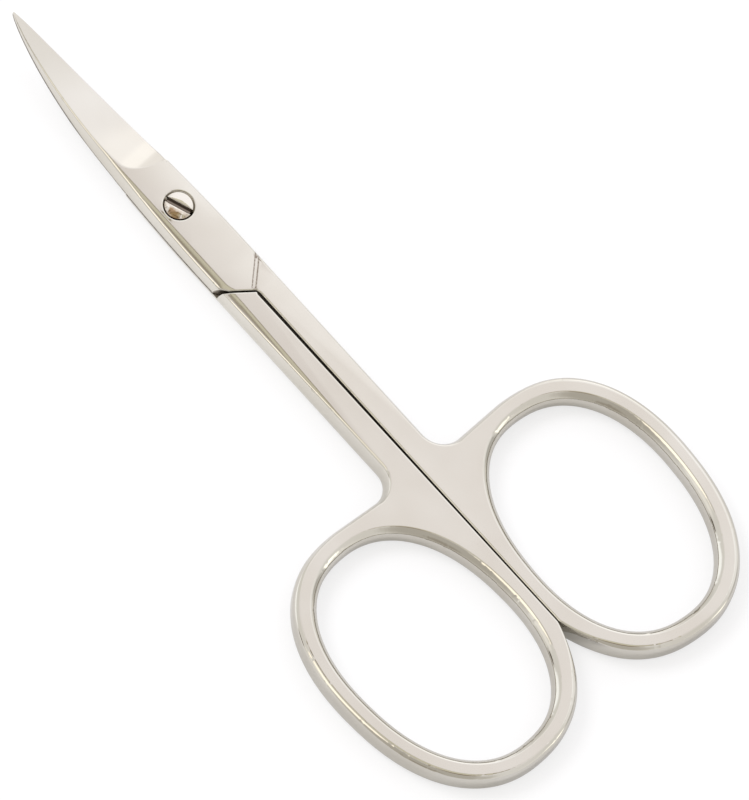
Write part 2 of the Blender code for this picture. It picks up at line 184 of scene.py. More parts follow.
# %% Dome of soft panels
PANELS = (  # azimuth, elevation, inner and outer angle in degrees, sRGB colour, strength
    (27, 60, 10, 20, "FDFDFF", 1.50),
    (-12, 34, 14, 26, "FFFEFF", 1.24),
    (25, 38, 14, 30, "FBFBFF", 1.47),
    (30, 88, 19, 27, "FFFBFC", 1.14),
    (-150, 30, 22, 50, "FFFAF1", 0.64),
    (-155, 18, 5, 14, "FFF6E8", 0.48),
    (30, 88, 14.5, 18, "F4E8CC", 0.45),
    (30, 88, 12.3, 13.8, "FFFBE6", 0.88),
    (160, 50, 12, 17, "FFF8EA", 1.90),
    (-120, 68, 4, 12, "FFE9CC", 0.38),
    (-56, 14, 5, 12, "FFFEF6", 2.00),
    (137, 9, 3, 7, "A89A86", 0.35),
    (-35, 6, 7, 15, "FFFDFA", 0.68),
    (-70, 4, 8, 18, "FFFDFA", 1.08),
    (112, 4, 12, 22, "FBFDFF", 1.55),
    (52, 10, 7, 13, "FFFEFF", 1.40),
    (80, 6, 5, 12, "FFFDFA", 0.88),
    (31, 25, 8, 20, "FDFDFF", 1.72),
    (150, 26, 5, 13, "FFFDFA", 1.25),
)
DOME = ("FFFDFB", 1.01)


def towards(azimuth, elevation):
    """Unit vector of a direction given in degrees."""
    a = math.radians(azimuth)
    e = math.radians(elevation)
    return Vector((math.cos(e) * math.cos(a), math.cos(e) * math.sin(a), math.sin(e)))


def lit(colour, strength):
    """A panel's colour times its strength."""
    return [c * strength for c in linear(colour)[:3]] + [1.0]


world = bpy.data.worlds.new("studio")
bpy.context.scene.world = world
world.use_nodes = True
tree = world.node_tree
tree.nodes.clear()
place = add_node(tree, "ShaderNodeTexCoord").outputs["Generated"]
unit = add_node(tree, "ShaderNodeVectorMath", {"operation": "NORMALIZE"}, i0=place)
shown = lit(*DOME)
for azimuth, elevation, inner, outer, colour, strength in PANELS:
    facing = add_node(tree, "ShaderNodeVectorMath", {"operation": "DOT_PRODUCT"},
                      i0=unit, i1=towards(azimuth, elevation))
    reached = add_node(tree, "ShaderNodeMapRange", {"interpolation_type": "SMOOTHSTEP"},
                       Value=facing, From_Min=math.cos(math.radians(outer)),
                       From_Max=math.cos(math.radians(inner)))
    shown = add_node(tree, "ShaderNodeMix", IN_COLOUR, i0=reached, i6=shown,
                     i7=lit(colour, strength))
sky = add_node(tree, "ShaderNodeBackground", Color=shown, Strength=1.0)
add_node(tree, "ShaderNodeOutputWorld", Surface=sky)
print("dome of", len(PANELS), "panels")

# %% Key lamp, which only casts the soft shadow
KEY_PLACE = Vector((-0.25, 0.6, 0.8))
KEY_TARGET = Vector((0.0, -0.03, 0.0))
KEY_SIZE = 0.5
KEY_POWER = 4.5

key = in_scene("key", bpy.data.lights.new("key", "AREA"))
key.data.shape = "DISK"
key.data.size = KEY_SIZE
key.data.energy = KEY_POWER
key.location = KEY_PLACE
key.rotation_euler = (KEY_TARGET - KEY_PLACE).to_track_quat("-Z", "Y").to_euler()
key.visible_glossy = False
print("key lamp at", [round(c, 2) for c in KEY_PLACE], "m")

# %% [markdown]
# ## Nickel plate
#
# The forgings are polished steel with bright nickel plate. The faces were drawn lengthwise over
# a felt wheel, so they carry very faint lines along the blades. The walls were rounded by a mop
# that ran along them, which leaves deeper lines, ripples, shallow pits and a slight wave, and
# that is why the reflections in the walls break up. Both are one metal, so one function makes
# both, with the marks in the roughness and in the bump. Shade is painted dark into the corners,
# creases and the seam: an attribute of the forging says where, and fine specks break it up.
# Each pattern's scale is one over its real size.

# %% Helpers for a metal's marks
USUAL_NOISE = {"From_Min": 0.3, "From_Max": 0.7}  # the range that a noise mostly keeps to


def new_metal(name):
    """A metallic material, its shader and the object's coordinates in its tree."""
    material = bpy.data.materials.new(name)
    material.use_nodes = True
    tree = material.node_tree
    shader = tree.nodes["Principled BSDF"]
    shader.inputs["Metallic"].default_value = 1.0
    place = add_node(tree, "ShaderNodeTexCoord").outputs["Object"]
    return material, tree, shader, place


def marks(tree, place, sizes, detail=2.0):
    """Noise whose grains have the given sizes along X, Y and Z."""
    scaled = add_node(tree, "ShaderNodeMapping", Vector=place, Scale=[1.0 / s for s in sizes])
    return add_node(tree, "ShaderNodeTexNoise", Vector=scaled, Scale=1.0, Detail=detail)


def relief(tree, layers):
    """Bumps on top of each other, from the lowest up, each a pattern and its depth."""
    below = {}
    for height, depth in layers:
        bump = add_node(tree, "ShaderNodeBump", Height=height, Distance=depth, Strength=1.0,
                        **below)
        below = {"Normal": bump}
    return bump


# %% Nickel plate with polishing lines and painted shade
CLOUD = 7.0 * MM
LINE_LENGTH = 14.0 * MM
SPECK = 0.12 * MM
SPECKED = {"From_Min": 0.38, "From_Max": 0.55}
SHADED_ROUGHNESS = 0.4


def nickel_plate(name, tones, grain, thin, dark, polish):
    """Plate in two tones over lines of a grain, with painted shade in a dark colour that thins
    out in specks, and a polish between two roughnesses. Also gives what its bumps are added to."""
    finish, tree, shader, place = new_metal(name)
    cloud = marks(tree, place, [CLOUD] * 3)
    share = add_node(tree, "ShaderNodeMapRange", Value=cloud, **USUAL_NOISE)
    tint = add_node(tree, "ShaderNodeMix", IN_COLOUR, i0=share, i6=linear(tones[0]),
                    i7=linear(tones[1]))
    # painted shade: dark where the forging's attribute says, in corners, creases and the seam
    left = add_node(tree, "ShaderNodeAttribute", {"attribute_name": "residue"}).outputs["Fac"]
    speck = add_node(tree, "ShaderNodeMapRange", Value=marks(tree, place, [SPECK] * 3),
                     To_Min=thin, To_Max=1.0, **SPECKED)
    shade_share = add_node(tree, "ShaderNodeMath", TIMES, i0=left, i1=speck)
    tint = add_node(tree, "ShaderNodeMix", IN_COLOUR, i0=shade_share, i6=tint, i7=linear(dark))
    lines = marks(tree, place, grain)
    smooth = add_node(tree, "ShaderNodeMapRange", Value=lines, To_Min=polish[0],
                      To_Max=polish[1], **USUAL_NOISE)
    smooth = add_node(tree, "ShaderNodeMix", {"data_type": "FLOAT"}, i0=shade_share, i2=smooth,
                      i3=SHADED_ROUGHNESS)
    set_inputs(tree, shader, {"Base Color": tint, "Roughness": smooth})
    return finish, tree, shader, place, lines


# %% Faces: drawn lengthwise over a felt wheel
FACE_LINES = 0.25 * MM  # spacing of the lines, drawn coarse enough to show
WAVE = 5.0 * MM

plate_finish, tree, shader, place, lines = nickel_plate(
    "nickel_plate_faces", tones=("CDC9C1", "C8C3BA"), grain=(FACE_LINES, LINE_LENGTH, FACE_LINES),
    thin=0.25, dark="6A5648", polish=(0.07, 0.11))
wave = marks(tree, place, [WAVE] * 3)
bumped = relief(tree, ((wave, 0.006 * MM), (lines, 0.00015 * MM)))
set_inputs(tree, shader, {"Normal": bumped})
print(plate_finish.name, len(tree.nodes), "nodes")

# %% Walls: rounded by a mop that ran along them
WALL_LINES = 0.4 * MM
RIPPLE = 1.3 * MM
PITTED = {"From_Min": 0.64, "From_Max": 0.74}

wall_finish, tree, shader, place, lines = nickel_plate(
    "nickel_plate_walls", tones=("D0CDC5", "C8C4BA"), grain=(LINE_LENGTH, LINE_LENGTH, WALL_LINES),
    thin=0.55, dark="5A4C40", polish=(0.05, 0.1))
wave = marks(tree, place, [WAVE] * 3)
ripple = marks(tree, place, [RIPPLE] * 3)
pits = add_node(tree, "ShaderNodeMapRange", Value=marks(tree, place, [RIPPLE] * 3, 0.0),
                To_Min=0.0, To_Max=-1.0, **PITTED)
bumped = relief(tree, ((wave, 0.05 * MM), (ripple, 0.015 * MM), (lines, 0.003 * MM),
                       (pits, 0.013 * MM)))
set_inputs(tree, shader, {"Normal": bumped})
print(wall_finish.name, len(tree.nodes), "nodes")

# %% [markdown]
# ## Bare steel in the joint
#
# Where the halves slide over each other, and on the cut ends of the laps, the steel was ground
# after plating. The stone leaves fine lines across the blade, so that steel is satin and greyer
# than the plate. Shade is painted dark and rough into the corners of the steps, and the forging's
# attribute "corner" says how much.

# %% Ground steel
GRIND_LINES = 0.10 * MM  # spacing of the stone's lines, drawn coarse enough to show
GRIND_LENGTH = 4.0 * MM
CORNER_ROUGHNESS = 0.5

bare_finish, tree, shader, place = new_metal("steel_in_joint")
lines = marks(tree, place, (GRIND_LENGTH, GRIND_LINES, GRIND_LENGTH))
share = add_node(tree, "ShaderNodeMapRange", Value=lines, **USUAL_NOISE)
tint = add_node(tree, "ShaderNodeMix", IN_COLOUR, i0=share, i6=linear("B4AFA7"),
                i7=linear("A19B91"))
# painted shade in the corners of the steps, from the forging's attribute
left = add_node(tree, "ShaderNodeAttribute", {"attribute_name": "corner"}).outputs["Fac"]
tint = add_node(tree, "ShaderNodeMix", IN_COLOUR, i0=left, i6=tint, i7=linear("40362F"))
satin = add_node(tree, "ShaderNodeMapRange", Value=lines, To_Min=0.24, To_Max=0.34, **USUAL_NOISE)
satin = add_node(tree, "ShaderNodeMix", {"data_type": "FLOAT"}, i0=left, i2=satin,
                 i3=CORNER_ROUGHNESS)
bumped = relief(tree, ((lines, 0.001 * MM),))
set_inputs(tree, shader, {"Base Color": tint, "Roughness": satin, "Normal": bumped})
print(bare_finish.name, len(tree.nodes), "nodes")

# %% [markdown]
# ## Turned steel screw
#
# The screw's head was faced on a lathe, which leaves fine rings round its axis, and polished with
# the pair. The rings come from the distance to the axis. A screwdriver has slipped on one half
# of the head, which is stained and dented, and shade is painted dark into the slot.

# %% Faced and polished screw
TURNING = 0.09 * MM  # spacing of the lathe's rings, drawn coarse enough to show
STAIN = 0.7 * MM
STAINED = {"From_Min": 0.35, "From_Max": 0.6}
DENT = 0.8 * MM
WORN_SIDE = (-0.934, -0.358, 0.0)  # towards the half of the head that is worn
WORN = {"From_Min": 0.2 * MM, "From_Max": 0.7 * MM}  # from the slot's line out that way
SLOT_HEIGHTS = {"From_Min": 2.56 * MM, "From_Max": 2.74 * MM}  # painted shade below, none above

screw_finish, tree, shader, place = new_metal("steel_screw_polished")
split = add_node(tree, "ShaderNodeSeparateXYZ", i0=place).outputs
flat = add_node(tree, "ShaderNodeCombineXYZ", X=split[0], Y=split[1])
away = add_node(tree, "ShaderNodeVectorMath", {"operation": "LENGTH"}, i0=flat)
ring = add_node(tree, "ShaderNodeMath", {"operation": "DIVIDE"}, i0=away, i1=TURNING)
rings = add_node(tree, "ShaderNodeTexNoise", {"noise_dimensions": "1D"}, W=ring, Scale=1.0,
                 Detail=1.0)
side = add_node(tree, "ShaderNodeVectorMath", {"operation": "DOT_PRODUCT"}, i0=place, i1=WORN_SIDE)
worn = add_node(tree, "ShaderNodeMapRange", Value=side, **WORN)
stain = add_node(tree, "ShaderNodeMapRange", Value=marks(tree, place, [STAIN] * 3), **STAINED)
stain = add_node(tree, "ShaderNodeMath", TIMES, i0=stain, i1=worn)
dent = add_node(tree, "ShaderNodeMath", TIMES, i0=marks(tree, place, [DENT] * 3, 1.0), i1=worn)
tint = add_node(tree, "ShaderNodeMix", IN_COLOUR, i0=stain, i6=linear("D4CFC6"),
                i7=linear("9C8468"))
# painted shade in the slot, darker towards its floor
deep = add_node(tree, "ShaderNodeMapRange", Value=split[2], To_Min=0.85, To_Max=0.0, **SLOT_HEIGHTS)
tint = add_node(tree, "ShaderNodeMix", IN_COLOUR, i0=deep, i6=tint, i7=linear("54453A"))
smooth = add_node(tree, "ShaderNodeMapRange", Value=rings, To_Min=0.05, To_Max=0.12, **USUAL_NOISE)
bumped = relief(tree, ((dent, 0.11 * MM), (rings, 0.0005 * MM)))
set_inputs(tree, shader, {"Base Color": tint, "Roughness": smooth, "Normal": bumped})
print(screw_finish.name, len(tree.nodes), "nodes")

# %% [markdown]
# ## One forging, drawn once
#
# Both halves come from one flat forging, so one outline serves for both: down the closing side,
# round the finger ring, up the shank, round the blade and back along the end of the lap. It is
# drawn at half thickness, where the walls stand furthest out. Each place on it also says how far
# the wall falls back towards the faces, how wide its polished edge is, and what finish it has.

# %% Sizes that the whole forging shares
STOCK = 2.8 * MM
LAP_GAP = 0.10 * MM
PARTING = 0.5 * (STOCK + LAP_GAP)  # height of the lap's underside
JOINT_WIDTH = 6.12 * MM
BLADE_REACH = 24.88 * MM
V_DEPTH = 11.57 * MM  # from the pivot down to the point of the shoulder's V
ARM_RISE_SHARE = 0.73  # slope of the V's arms
ARM_GAP = 0.21 * MM
ARM_START = -V_DEPTH + ARM_GAP  # the point of the lap's end, which stays clear of the shoulder
PLATE, WALL, BARE = range(3)  # finishes: face, wall, bare steel in the joint
print("lap", round(PARTING / MM, 2), "mm above the back")

# %% Outline of the blade
SIDE_START = 6.5 * MM  # from the pivot down to where the sides begin to draw in
SIDE_RUN_POWER = 1.9  # how they draw in, first slowly and then fast, to the tip
SIDE_DRAW_POWER = 1.37
RICASSO_AT = 4.3 * MM  # where the cutting edge begins, with a small step in
RICASSO_STEP = 0.12 * MM
RICASSO_RUN = 0.4 * MM
RICASSO_FADE = 9.0 * MM
SIDE_STRETCHES = ((-8.4, 4.2, 0.3), (4.3, 4.75, 0.05), (5.0, 22.1, 0.3))  # from, to, step in mm
TIP_PLACES = (22.4, 22.8, 23.2, 23.6, 23.9, 24.2, 24.4, 24.6, 24.75, 24.84)


def blade_half_width(y):
    """Half the width of joint and blade, drawn in to nothing at the tip."""
    run = max(0.0, y + SIDE_START) / (BLADE_REACH + SIDE_START)
    return 0.5 * JOINT_WIDTH * max(0.0, 1.0 - run ** SIDE_RUN_POWER) ** (1.0 / SIDE_DRAW_POWER)


def edge_side(y):
    """Cutting side of the blade, which steps in where the edge begins."""
    past = y - RICASSO_AT
    grown = clamped(past / RICASSO_RUN)
    return blade_half_width(y) - RICASSO_STEP * grown * clamped(1.0 - past / RICASSO_FADE)


def side_places():
    """Places along the blade, closer together at the step and towards the tip."""
    places = [p for stretch in SIDE_STRETCHES for p in np.arange(*stretch)] + list(TIP_PLACES)
    return [float(p) * MM for p in places]


print("half width at the cutting edge", round(blade_half_width(RICASSO_AT) / MM, 2), "mm")

# %% Outline of the finger ring
RING_DISTANCE = 49.98 * MM  # of the ring's middle, below the pivot
RING_OFFSET = 11.12 * MM  # and beside the closing line
RING_TILT = math.radians(3.6)
RING_POWER = 2.27  # the oval is a little squared
RING_STEPS = 176
OVAL_STEPS = 4000  # to measure along the oval
RING_GAP = 0.08 * MM  # between the rings
RING_BAR = 2.379 * MM  # width of the bar in plan
OPENING = (18.08 * MM, 25.5 * MM)  # width and length
RING = tuple(size + 2.0 * RING_BAR for size in OPENING)


def halved(near, far, short, steps=40):
    """The place between two where a test stops holding, found by halving."""
    for _ in range(steps):
        middle = 0.5 * (near + far)
        if short(middle):
            near = middle
        else:
            far = middle
    return far


def ring_point(angle, width, length):
    """Point on a squared oval about the ring's middle, leaning out at the top."""
    c = math.cos(angle)
    s = math.sin(angle)
    x = 0.5 * width * math.copysign(abs(c) ** (2.0 / RING_POWER), c)
    y = 0.5 * length * math.copysign(abs(s) ** (2.0 / RING_POWER), s)
    leant = Matrix.Rotation(-RING_TILT, 2) @ Vector((x, y))
    return Vector((RING_OFFSET + leant.x, leant.y - RING_DISTANCE))


def even_angles(start, end, width, length):
    """Angles that space the points of a ring's oval evenly along it."""
    fine = [start + (end - start) * i / OVAL_STEPS for i in range(OVAL_STEPS + 1)]
    points = [ring_point(a, width, length) for a in fine]
    run = np.concatenate(([0.0], np.cumsum([(b - a).length for a, b in zip(points, points[1:])])))
    return np.interp(np.linspace(0.0, run[-1], RING_STEPS + 1), run, fine)


closing_angle = halved(math.pi, 1.5 * math.pi,
                       lambda angle: ring_point(angle, *RING).x < 0.5 * RING_GAP, 50)
print("ring meets the closing line at", round(math.degrees(closing_angle), 1), "degrees")

# %% Bows and polished edges of the walls
JOINT_BOW = 0.52 * MM  # how far a wall falls back from half thickness to the faces
SHANK_BOW = 0.55 * MM
RING_OUTER_BOW = 0.45 * MM
RING_INNER_BOW = 0.74 * MM
TIP_BOW_SHARE = 0.45  # of the blade's half width, where that is less
BOW_POWER = 2.0  # a wall bows out as a parabola, and the ring's walls are rounder
RING_OUTER_POWER = 4.0
RING_INNER_POWER = 3.0
JOINT_ROUND = 0.12 * MM  # widths of the polished edges
SHANK_ROUND = 0.10 * MM
CLOSING_ROUND = 0.17 * MM
OPENING_ROUND = 0.07 * MM
RING_ROUND = 0.20 * MM
SPINE_ROUND = 0.16 * MM
SPINE_FROM = 3.0 * MM  # where along the outer side the spine's edge widens
SPINE_RUN = 4.0 * MM

Station = collections.namedtuple("Station", "x y bow edge finish power", defaults=(BOW_POWER,))
print("edges", [round(w / MM, 2) for w in (JOINT_ROUND, SHANK_ROUND, RING_ROUND)], "mm")

# %% Closing line, ring and finger opening
SHANK_GAP = 0.26 * MM  # between the shanks, at its upper end
RING_BLEND = math.radians(24.0)  # stretch over which the bar takes up its round section
RING_TOP_END = math.radians(95.0)  # where the fillet takes over


def closing_stations():
    """From the shoulder's point round to the closing line."""
    apex = 0.5 * SHANK_GAP
    share = ARM_GAP / (2.0 * ARM_GAP + ARM_RISE_SHARE * apex)
    return [Station(apex * share, ARM_START - 2.0 * ARM_GAP * share, 0.0, JOINT_ROUND, BARE),
            Station(apex, -V_DEPTH - ARM_GAP, 0.0, CLOSING_ROUND, BARE)]


def ring_stations():
    """Round the outside of the ring, with flat walls at the closing line."""
    end = 2.0 * math.pi + RING_TOP_END
    stations = []
    for angle in even_angles(closing_angle, end, *RING):
        point = ring_point(angle, *RING)
        blend = min(1.0, (angle - closing_angle) / RING_BLEND)
        soft = min(blend, max(0.0, (end - angle) / RING_BLEND - 0.5))
        edge = CLOSING_ROUND if angle < closing_angle + RING_BLEND else SHANK_ROUND
        edge += (RING_ROUND - edge) * soft
        power = BOW_POWER + (RING_OUTER_POWER - BOW_POWER) * soft
        stations.append(Station(point.x, point.y, RING_OUTER_BOW * blend, edge, WALL, power))
    return stations


def opening_stations():
    """Outline of the finger opening, clockwise, as a hole runs."""
    points = [ring_point(a, *OPENING) for a in even_angles(0.0, -2.0 * math.pi, *OPENING)[:-1]]
    return [Station(*p, RING_INNER_BOW, OPENING_ROUND, WALL, RING_INNER_POWER) for p in points]


print("ring:", len(ring_stations()), "stations, opening:", len(opening_stations()))

# %% Shank, blade and end of the lap
RING_TOP = 35.1 * MM  # from the pivot down to where the fillet meets the ring
FILLET_RADIUS = 2.4 * MM
FILLET_STEPS = 22
SHANK_STEPS = 12
CORNER_RELIEF = 0.55 * MM
CORNER_RELIEF_WIDTH = 0.90 * MM


def shank_stations():
    """Round the fillet and up the shank to the shoulder."""
    half = 0.5 * JOINT_WIDTH
    stations = []
    for i in range(FILLET_STEPS + 1):
        angle = -0.5 * math.pi * (1.0 + i / FILLET_STEPS)
        x = half + FILLET_RADIUS * (1.0 + math.cos(angle))
        y = -RING_TOP + FILLET_RADIUS * (1.0 + math.sin(angle))
        stations.append(Station(x, y, SHANK_BOW, SHANK_ROUND, WALL))
    low = stations[-1].y
    for i in range(1, SHANK_STEPS + 1):
        y = low + (-V_DEPTH - low) * i / SHANK_STEPS
        bow = SHANK_BOW + (JOINT_BOW - SHANK_BOW) * i / SHANK_STEPS
        stations.append(Station(half, y, bow, SHANK_ROUND, WALL))
    shoulder = -V_DEPTH + ARM_RISE_SHARE * half
    return stations + [Station(half, shoulder, JOINT_BOW, JOINT_ROUND, WALL)]


def blade_stations():
    """Up the cutting side, round the tip and back down the outer side."""
    up = []
    down = []
    for y in side_places():
        bow = min(JOINT_BOW, TIP_BOW_SHARE * blade_half_width(y))
        edge = JOINT_ROUND + (SPINE_ROUND - JOINT_ROUND) * clamped((y - SPINE_FROM) / SPINE_RUN)
        up.append(Station(edge_side(y), y, bow, JOINT_ROUND, WALL))
        down.append(Station(-blade_half_width(y), y, bow, edge, WALL))
    return up + [Station(0.0, BLADE_REACH, up[-1].bow, JOINT_ROUND, WALL)] + down[::-1]


def lap_end_stations():
    """Along the end of the lap, whose outer corner is relieved, to its point."""
    half = 0.5 * JOINT_WIDTH
    inner = half - CORNER_RELIEF_WIDTH
    points = ((-half, ARM_START + ARM_RISE_SHARE * half + CORNER_RELIEF),
              (-inner, ARM_START + ARM_RISE_SHARE * inner), (0.0, ARM_START))
    return [Station(x, y, 0.0, JOINT_ROUND, BARE) for x, y in points]


def half_stations():
    """Outline of the forging, counter-clockwise, and the number of its station at the shoulder."""
    to_shoulder = closing_stations() + ring_stations() + shank_stations()
    return to_shoulder + blade_stations() + lap_end_stations(), len(to_shoulder) - 1


print("forging:", len(half_stations()[0]), "stations")

# %% [markdown]
# ## Walls that bow out
#
# The walls of forging and ring are rounded by the polishing mop: furthest out at half thickness,
# and falling back towards the faces. Every edge is broken by a small rounding. A wall is drawn
# as columns of points, one at each place of the outline, and each column ends where it meets the
# face above or below it.

# %% Columns of a wall
SHARP_CORNER = math.radians(25.0)  # a sharper turn keeps its corner
MITER_LIMIT = 2.2  # in insets
TIP_ROOM_SHARE = 0.3  # how much of the blade's half width an edge may take
LEAST_ROOM = 0.012 * MM

Column = collections.namedtuple("Column", "place shift power edge room finish")


def corner_shifts(places, insets):
    """Moves each stretch of a loop in by its own inset and gives each corner's shift."""
    count = len(places)
    shifts = []
    for i, place in enumerate(places):
        before = (place - places[i - 1]).normalized()
        after = (places[(i + 1) % count] - place).normalized()
        turn = before.cross(after)
        if abs(turn) > math.sin(SHARP_CORNER):
            shift = (insets[i - 1] * after - insets[i] * before) / turn
        else:
            across = Vector((-after.y, after.x))
            middle = (Vector((-before.y, before.x)) + across).normalized()
            shift = middle * 0.5 * (insets[i - 1] + insets[i]) / middle.dot(across)
        limit = MITER_LIMIT * max(insets[i - 1], insets[i])
        if shift.length > limit:
            shift = shift.normalized() * limit
        shifts.append(shift)
    return shifts


def wall_columns(stations):
    """The columns at a loop's stations."""
    places = [Vector((s.x, s.y)) for s in stations]
    shifts = corner_shifts(places, [s.bow for s in stations])
    columns = []
    for s, place, shift in zip(stations, places, shifts):
        room = max(TIP_ROOM_SHARE * blade_half_width(s.y), LEAST_ROOM) if s.y > 0.0 else STOCK
        columns.append(Column(place, shift, s.power, s.edge, room, s.finish))
    return columns


def on_wall(column, z):
    """Place in plan of a column's point at a height."""
    return column.place + column.shift * abs(2.0 * z / STOCK - 1.0) ** column.power


def meets(column, surface, way):
    """Height at which a column meets the face above (way 1) or below (way -1)."""
    def short(z):
        point = on_wall(column, z)
        return way * (surface(point.x, point.y) - z) > 0.0

    return halved(PARTING, STOCK if way > 0 else 0.0, short)


print("opening:", len(wall_columns(opening_stations())), "columns")

# %% Raising a wall
WALL_ROWS = 12
ROUND_ROWS = 6
EDGE_LIMIT_SHARE = 0.35  # how much of a wall's height its edge may take
RIM_STEP = 0.05 * MM  # flat strip inside a polished edge, narrower where an edge or the room is
RIM_EDGE_SHARE = 0.5
RIM_ROOM_SHARE = 0.2


def raise_wall(body, base, columns, surface, way):
    """Builds the wall from its base row to a face and gives the loop inside its edge."""
    heights = [meets(c, surface, way) for c in columns]
    corners = [on_wall(c, z) for c, z in zip(columns, heights)]
    widths = [min(c.edge, EDGE_LIMIT_SHARE * abs(z - PARTING), c.room)
              for c, z in zip(columns, heights)]
    inward = corner_shifts(corners, [1.0] * len(columns))
    rows = [base]
    for k in range(1, WALL_ROWS + 1):
        row = []
        for column, z, width in zip(columns, heights, widths):
            level = PARTING + (z - way * width - PARTING) * k / WALL_ROWS
            row.append(body.verts.new((*on_wall(column, level), level)))
        rows.append(row)
    for k in range(1, ROUND_ROWS + 1):
        t = k / ROUND_ROWS
        row = []
        for low, corner, z, across, width in zip(rows[WALL_ROWS], corners, heights, inward, widths):
            top = corner + across * width
            a, b, c = low.co, Vector((*corner, z)), Vector((*top, surface(*top)))
            row.append(body.verts.new(a * (1 - t) ** 2 + b * 2 * t * (1 - t) + c * t * t))
        rows.append(row)
    row = []
    for column, corner, across, width in zip(columns, corners, inward, widths):
        strip = min(RIM_STEP, RIM_EDGE_SHARE * width + RIM_ROOM_SHARE * column.room)
        inner = corner + across * (width + strip)
        row.append(body.verts.new((*inner, surface(*inner))))
    rows.append(row)
    for k, (lower, upper) in enumerate(zip(rows, rows[1:])):
        for i, column in enumerate(columns):
            j = (i + 1) % len(columns)
            face = body.faces.new((lower[i], lower[j], upper[j], upper[i]))
            face.material_index = column.finish if k < WALL_ROWS else WALL
            if upper is rows[-1]:
                face.material_index = PLATE
    return rows[-1]


print("wall of", WALL_ROWS + ROUND_ROWS, "rows")

# %% [markdown]
# ## Faces and what is cut into them
#
# Seen from above, each face is a height over the plan: flat at the stock's thickness, with the
# ground face, the shallow facet and the scribed groove each taking some of it away. Where two of
# them meet, a rounded maximum stands for the edge that the mop has softened. The facet's outer
# strip falls off more, because the mop wraps round the edge there.

# %% Crowned front and softened edges
CROWN = 0.07 * MM  # how far the polished front falls off at its sides
CROWN_END = 33.0 * MM  # from the pivot down to where the front is flat again
CROWN_FADE = 14.0 * MM
SOFTENED = 0.028 * MM


def rounded_max(a, b):
    """The larger of two drops, blended where they are nearly alike."""
    share = clamped(0.5 + 0.5 * (a - b) / SOFTENED)
    return b + (a - b) * share + SOFTENED * share * (1.0 - share)


def crowned(x, y):
    """How far the front has been polished down beside its middle, from blade to ring."""
    share = clamped((y + CROWN_END) / CROWN_FADE)
    return CROWN * share * share * (3.0 - 2.0 * share) * (2.0 * x / JOINT_WIDTH) ** 2


print("crown at the joint's side", round(crowned(0.5 * JOINT_WIDTH, 0.0) / MM, 3), "mm")

# %% Facet along the outer edge
FACET_WIDTH = 0.55 * MM
FACET_DROP = 0.10 * MM
FACET_RUN = 18.0 * MM
FACET_FLARE = 0.25 * MM  # how far the facet widens where the lap ends
FACET_FLARE_RUN = 1.0 * MM
FACET_LIP = 0.28 * MM  # outer strip of the facet, which falls off more
FACET_LIP_SLOPE = 0.26
FACE_EDGE = 0.5 * JOINT_WIDTH - JOINT_BOW - FACET_WIDTH


def lap_crease(y):
    """Where the facet along lap and blade begins, swinging in where the lap ends."""
    end = ARM_START + ARM_RISE_SHARE * FACE_EDGE
    near = clamped(1.0 - (y - end) / FACET_FLARE_RUN)
    return FACET_FLARE * near * near - FACE_EDGE


def shank_crease(y):
    """Where the facet along the back of the shank begins, dying out towards the ring."""
    return FACE_EDGE + FACET_WIDTH * max(0.0, -V_DEPTH - y) / FACET_RUN


def facet_drop(past):
    """How far the facet lies below the face at a distance past its crease."""
    slope = FACET_DROP / FACET_WIDTH
    return past * slope + max(0.0, past - FACET_WIDTH + FACET_LIP) * (FACET_LIP_SLOPE - slope)


print("facet drops", round(facet_drop(FACET_WIDTH) / MM, 2), "mm")

# %% Ground face of the blade
EDGE_THICKNESS = 0.12 * MM  # of the cutting edge, above the parting
EDGE_LINE_AT_PIVOT = 3.5 * MM  # how far beside the pivot the edge's line runs
EDGE_LINE_ANGLE = math.radians(6.6)
GRIND_ANGLE = math.radians(15.7)
GRIND_START = 7.55 * MM  # how far up that line the wheel's run-out ends
GRIND_RADIUS = 5.3 * MM  # radius of the wheel
RUN_OUT_MARGIN = 0.3 * MM  # above the lowest place that the wheel reaches


def grind_drop(x, y):
    """How far the ground face lies below the flat, run out by the round of the wheel."""
    cosine = math.cos(EDGE_LINE_ANGLE)
    sine = math.sin(EDGE_LINE_ANGLE)
    across = cosine * (x - EDGE_LINE_AT_PIVOT) + sine * y
    along = cosine * y - sine * (x - EDGE_LINE_AT_PIVOT)
    back = min(GRIND_RADIUS, max(0.0, GRIND_START - along))
    lift = GRIND_RADIUS - math.sqrt(GRIND_RADIUS ** 2 - back ** 2)
    height = PARTING + EDGE_THICKNESS - across * math.tan(GRIND_ANGLE)
    return STOCK - (height + lift / math.cos(GRIND_ANGLE))


def run_out(x):
    """Where along the blade the ground face leaves the flat, for a place across it."""
    return halved(GRIND_START - GRIND_RADIUS + RUN_OUT_MARGIN, BLADE_REACH,
                  lambda y: grind_drop(x, y) <= crowned(x, y))


print("ground face leaves the flat at", round(run_out(0.0) / MM, 2), "mm")

# %% Scribed groove, and the heights of all faces
GROOVE_WIDTH = 0.48 * MM
GROOVE_DEPTH = 0.07 * MM
GROOVE_SIDE = 0.09 * MM  # width of its sloping sides
GROOVE_RISE_SHARE = 0.92
GROOVE_START = 0.54 * MM
GROOVE_ALONG = Vector((1.0, GROOVE_RISE_SHARE)).normalized()
GROOVE_ORIGIN = Vector((0.0, -V_DEPTH + GROOVE_START))


def groove_drop(x, y):
    """How far the scribed groove goes below the flat."""
    away = Vector((x, y)) - GROOVE_ORIGIN
    inside = 0.5 * GROOVE_WIDTH - abs(away.cross(GROOVE_ALONG))
    if inside < -GROOVE_SIDE or away.dot(GROOVE_ALONG) < -GROOVE_WIDTH:
        return -STOCK
    return GROOVE_DEPTH * min(1.0, inside / GROOVE_SIDE)


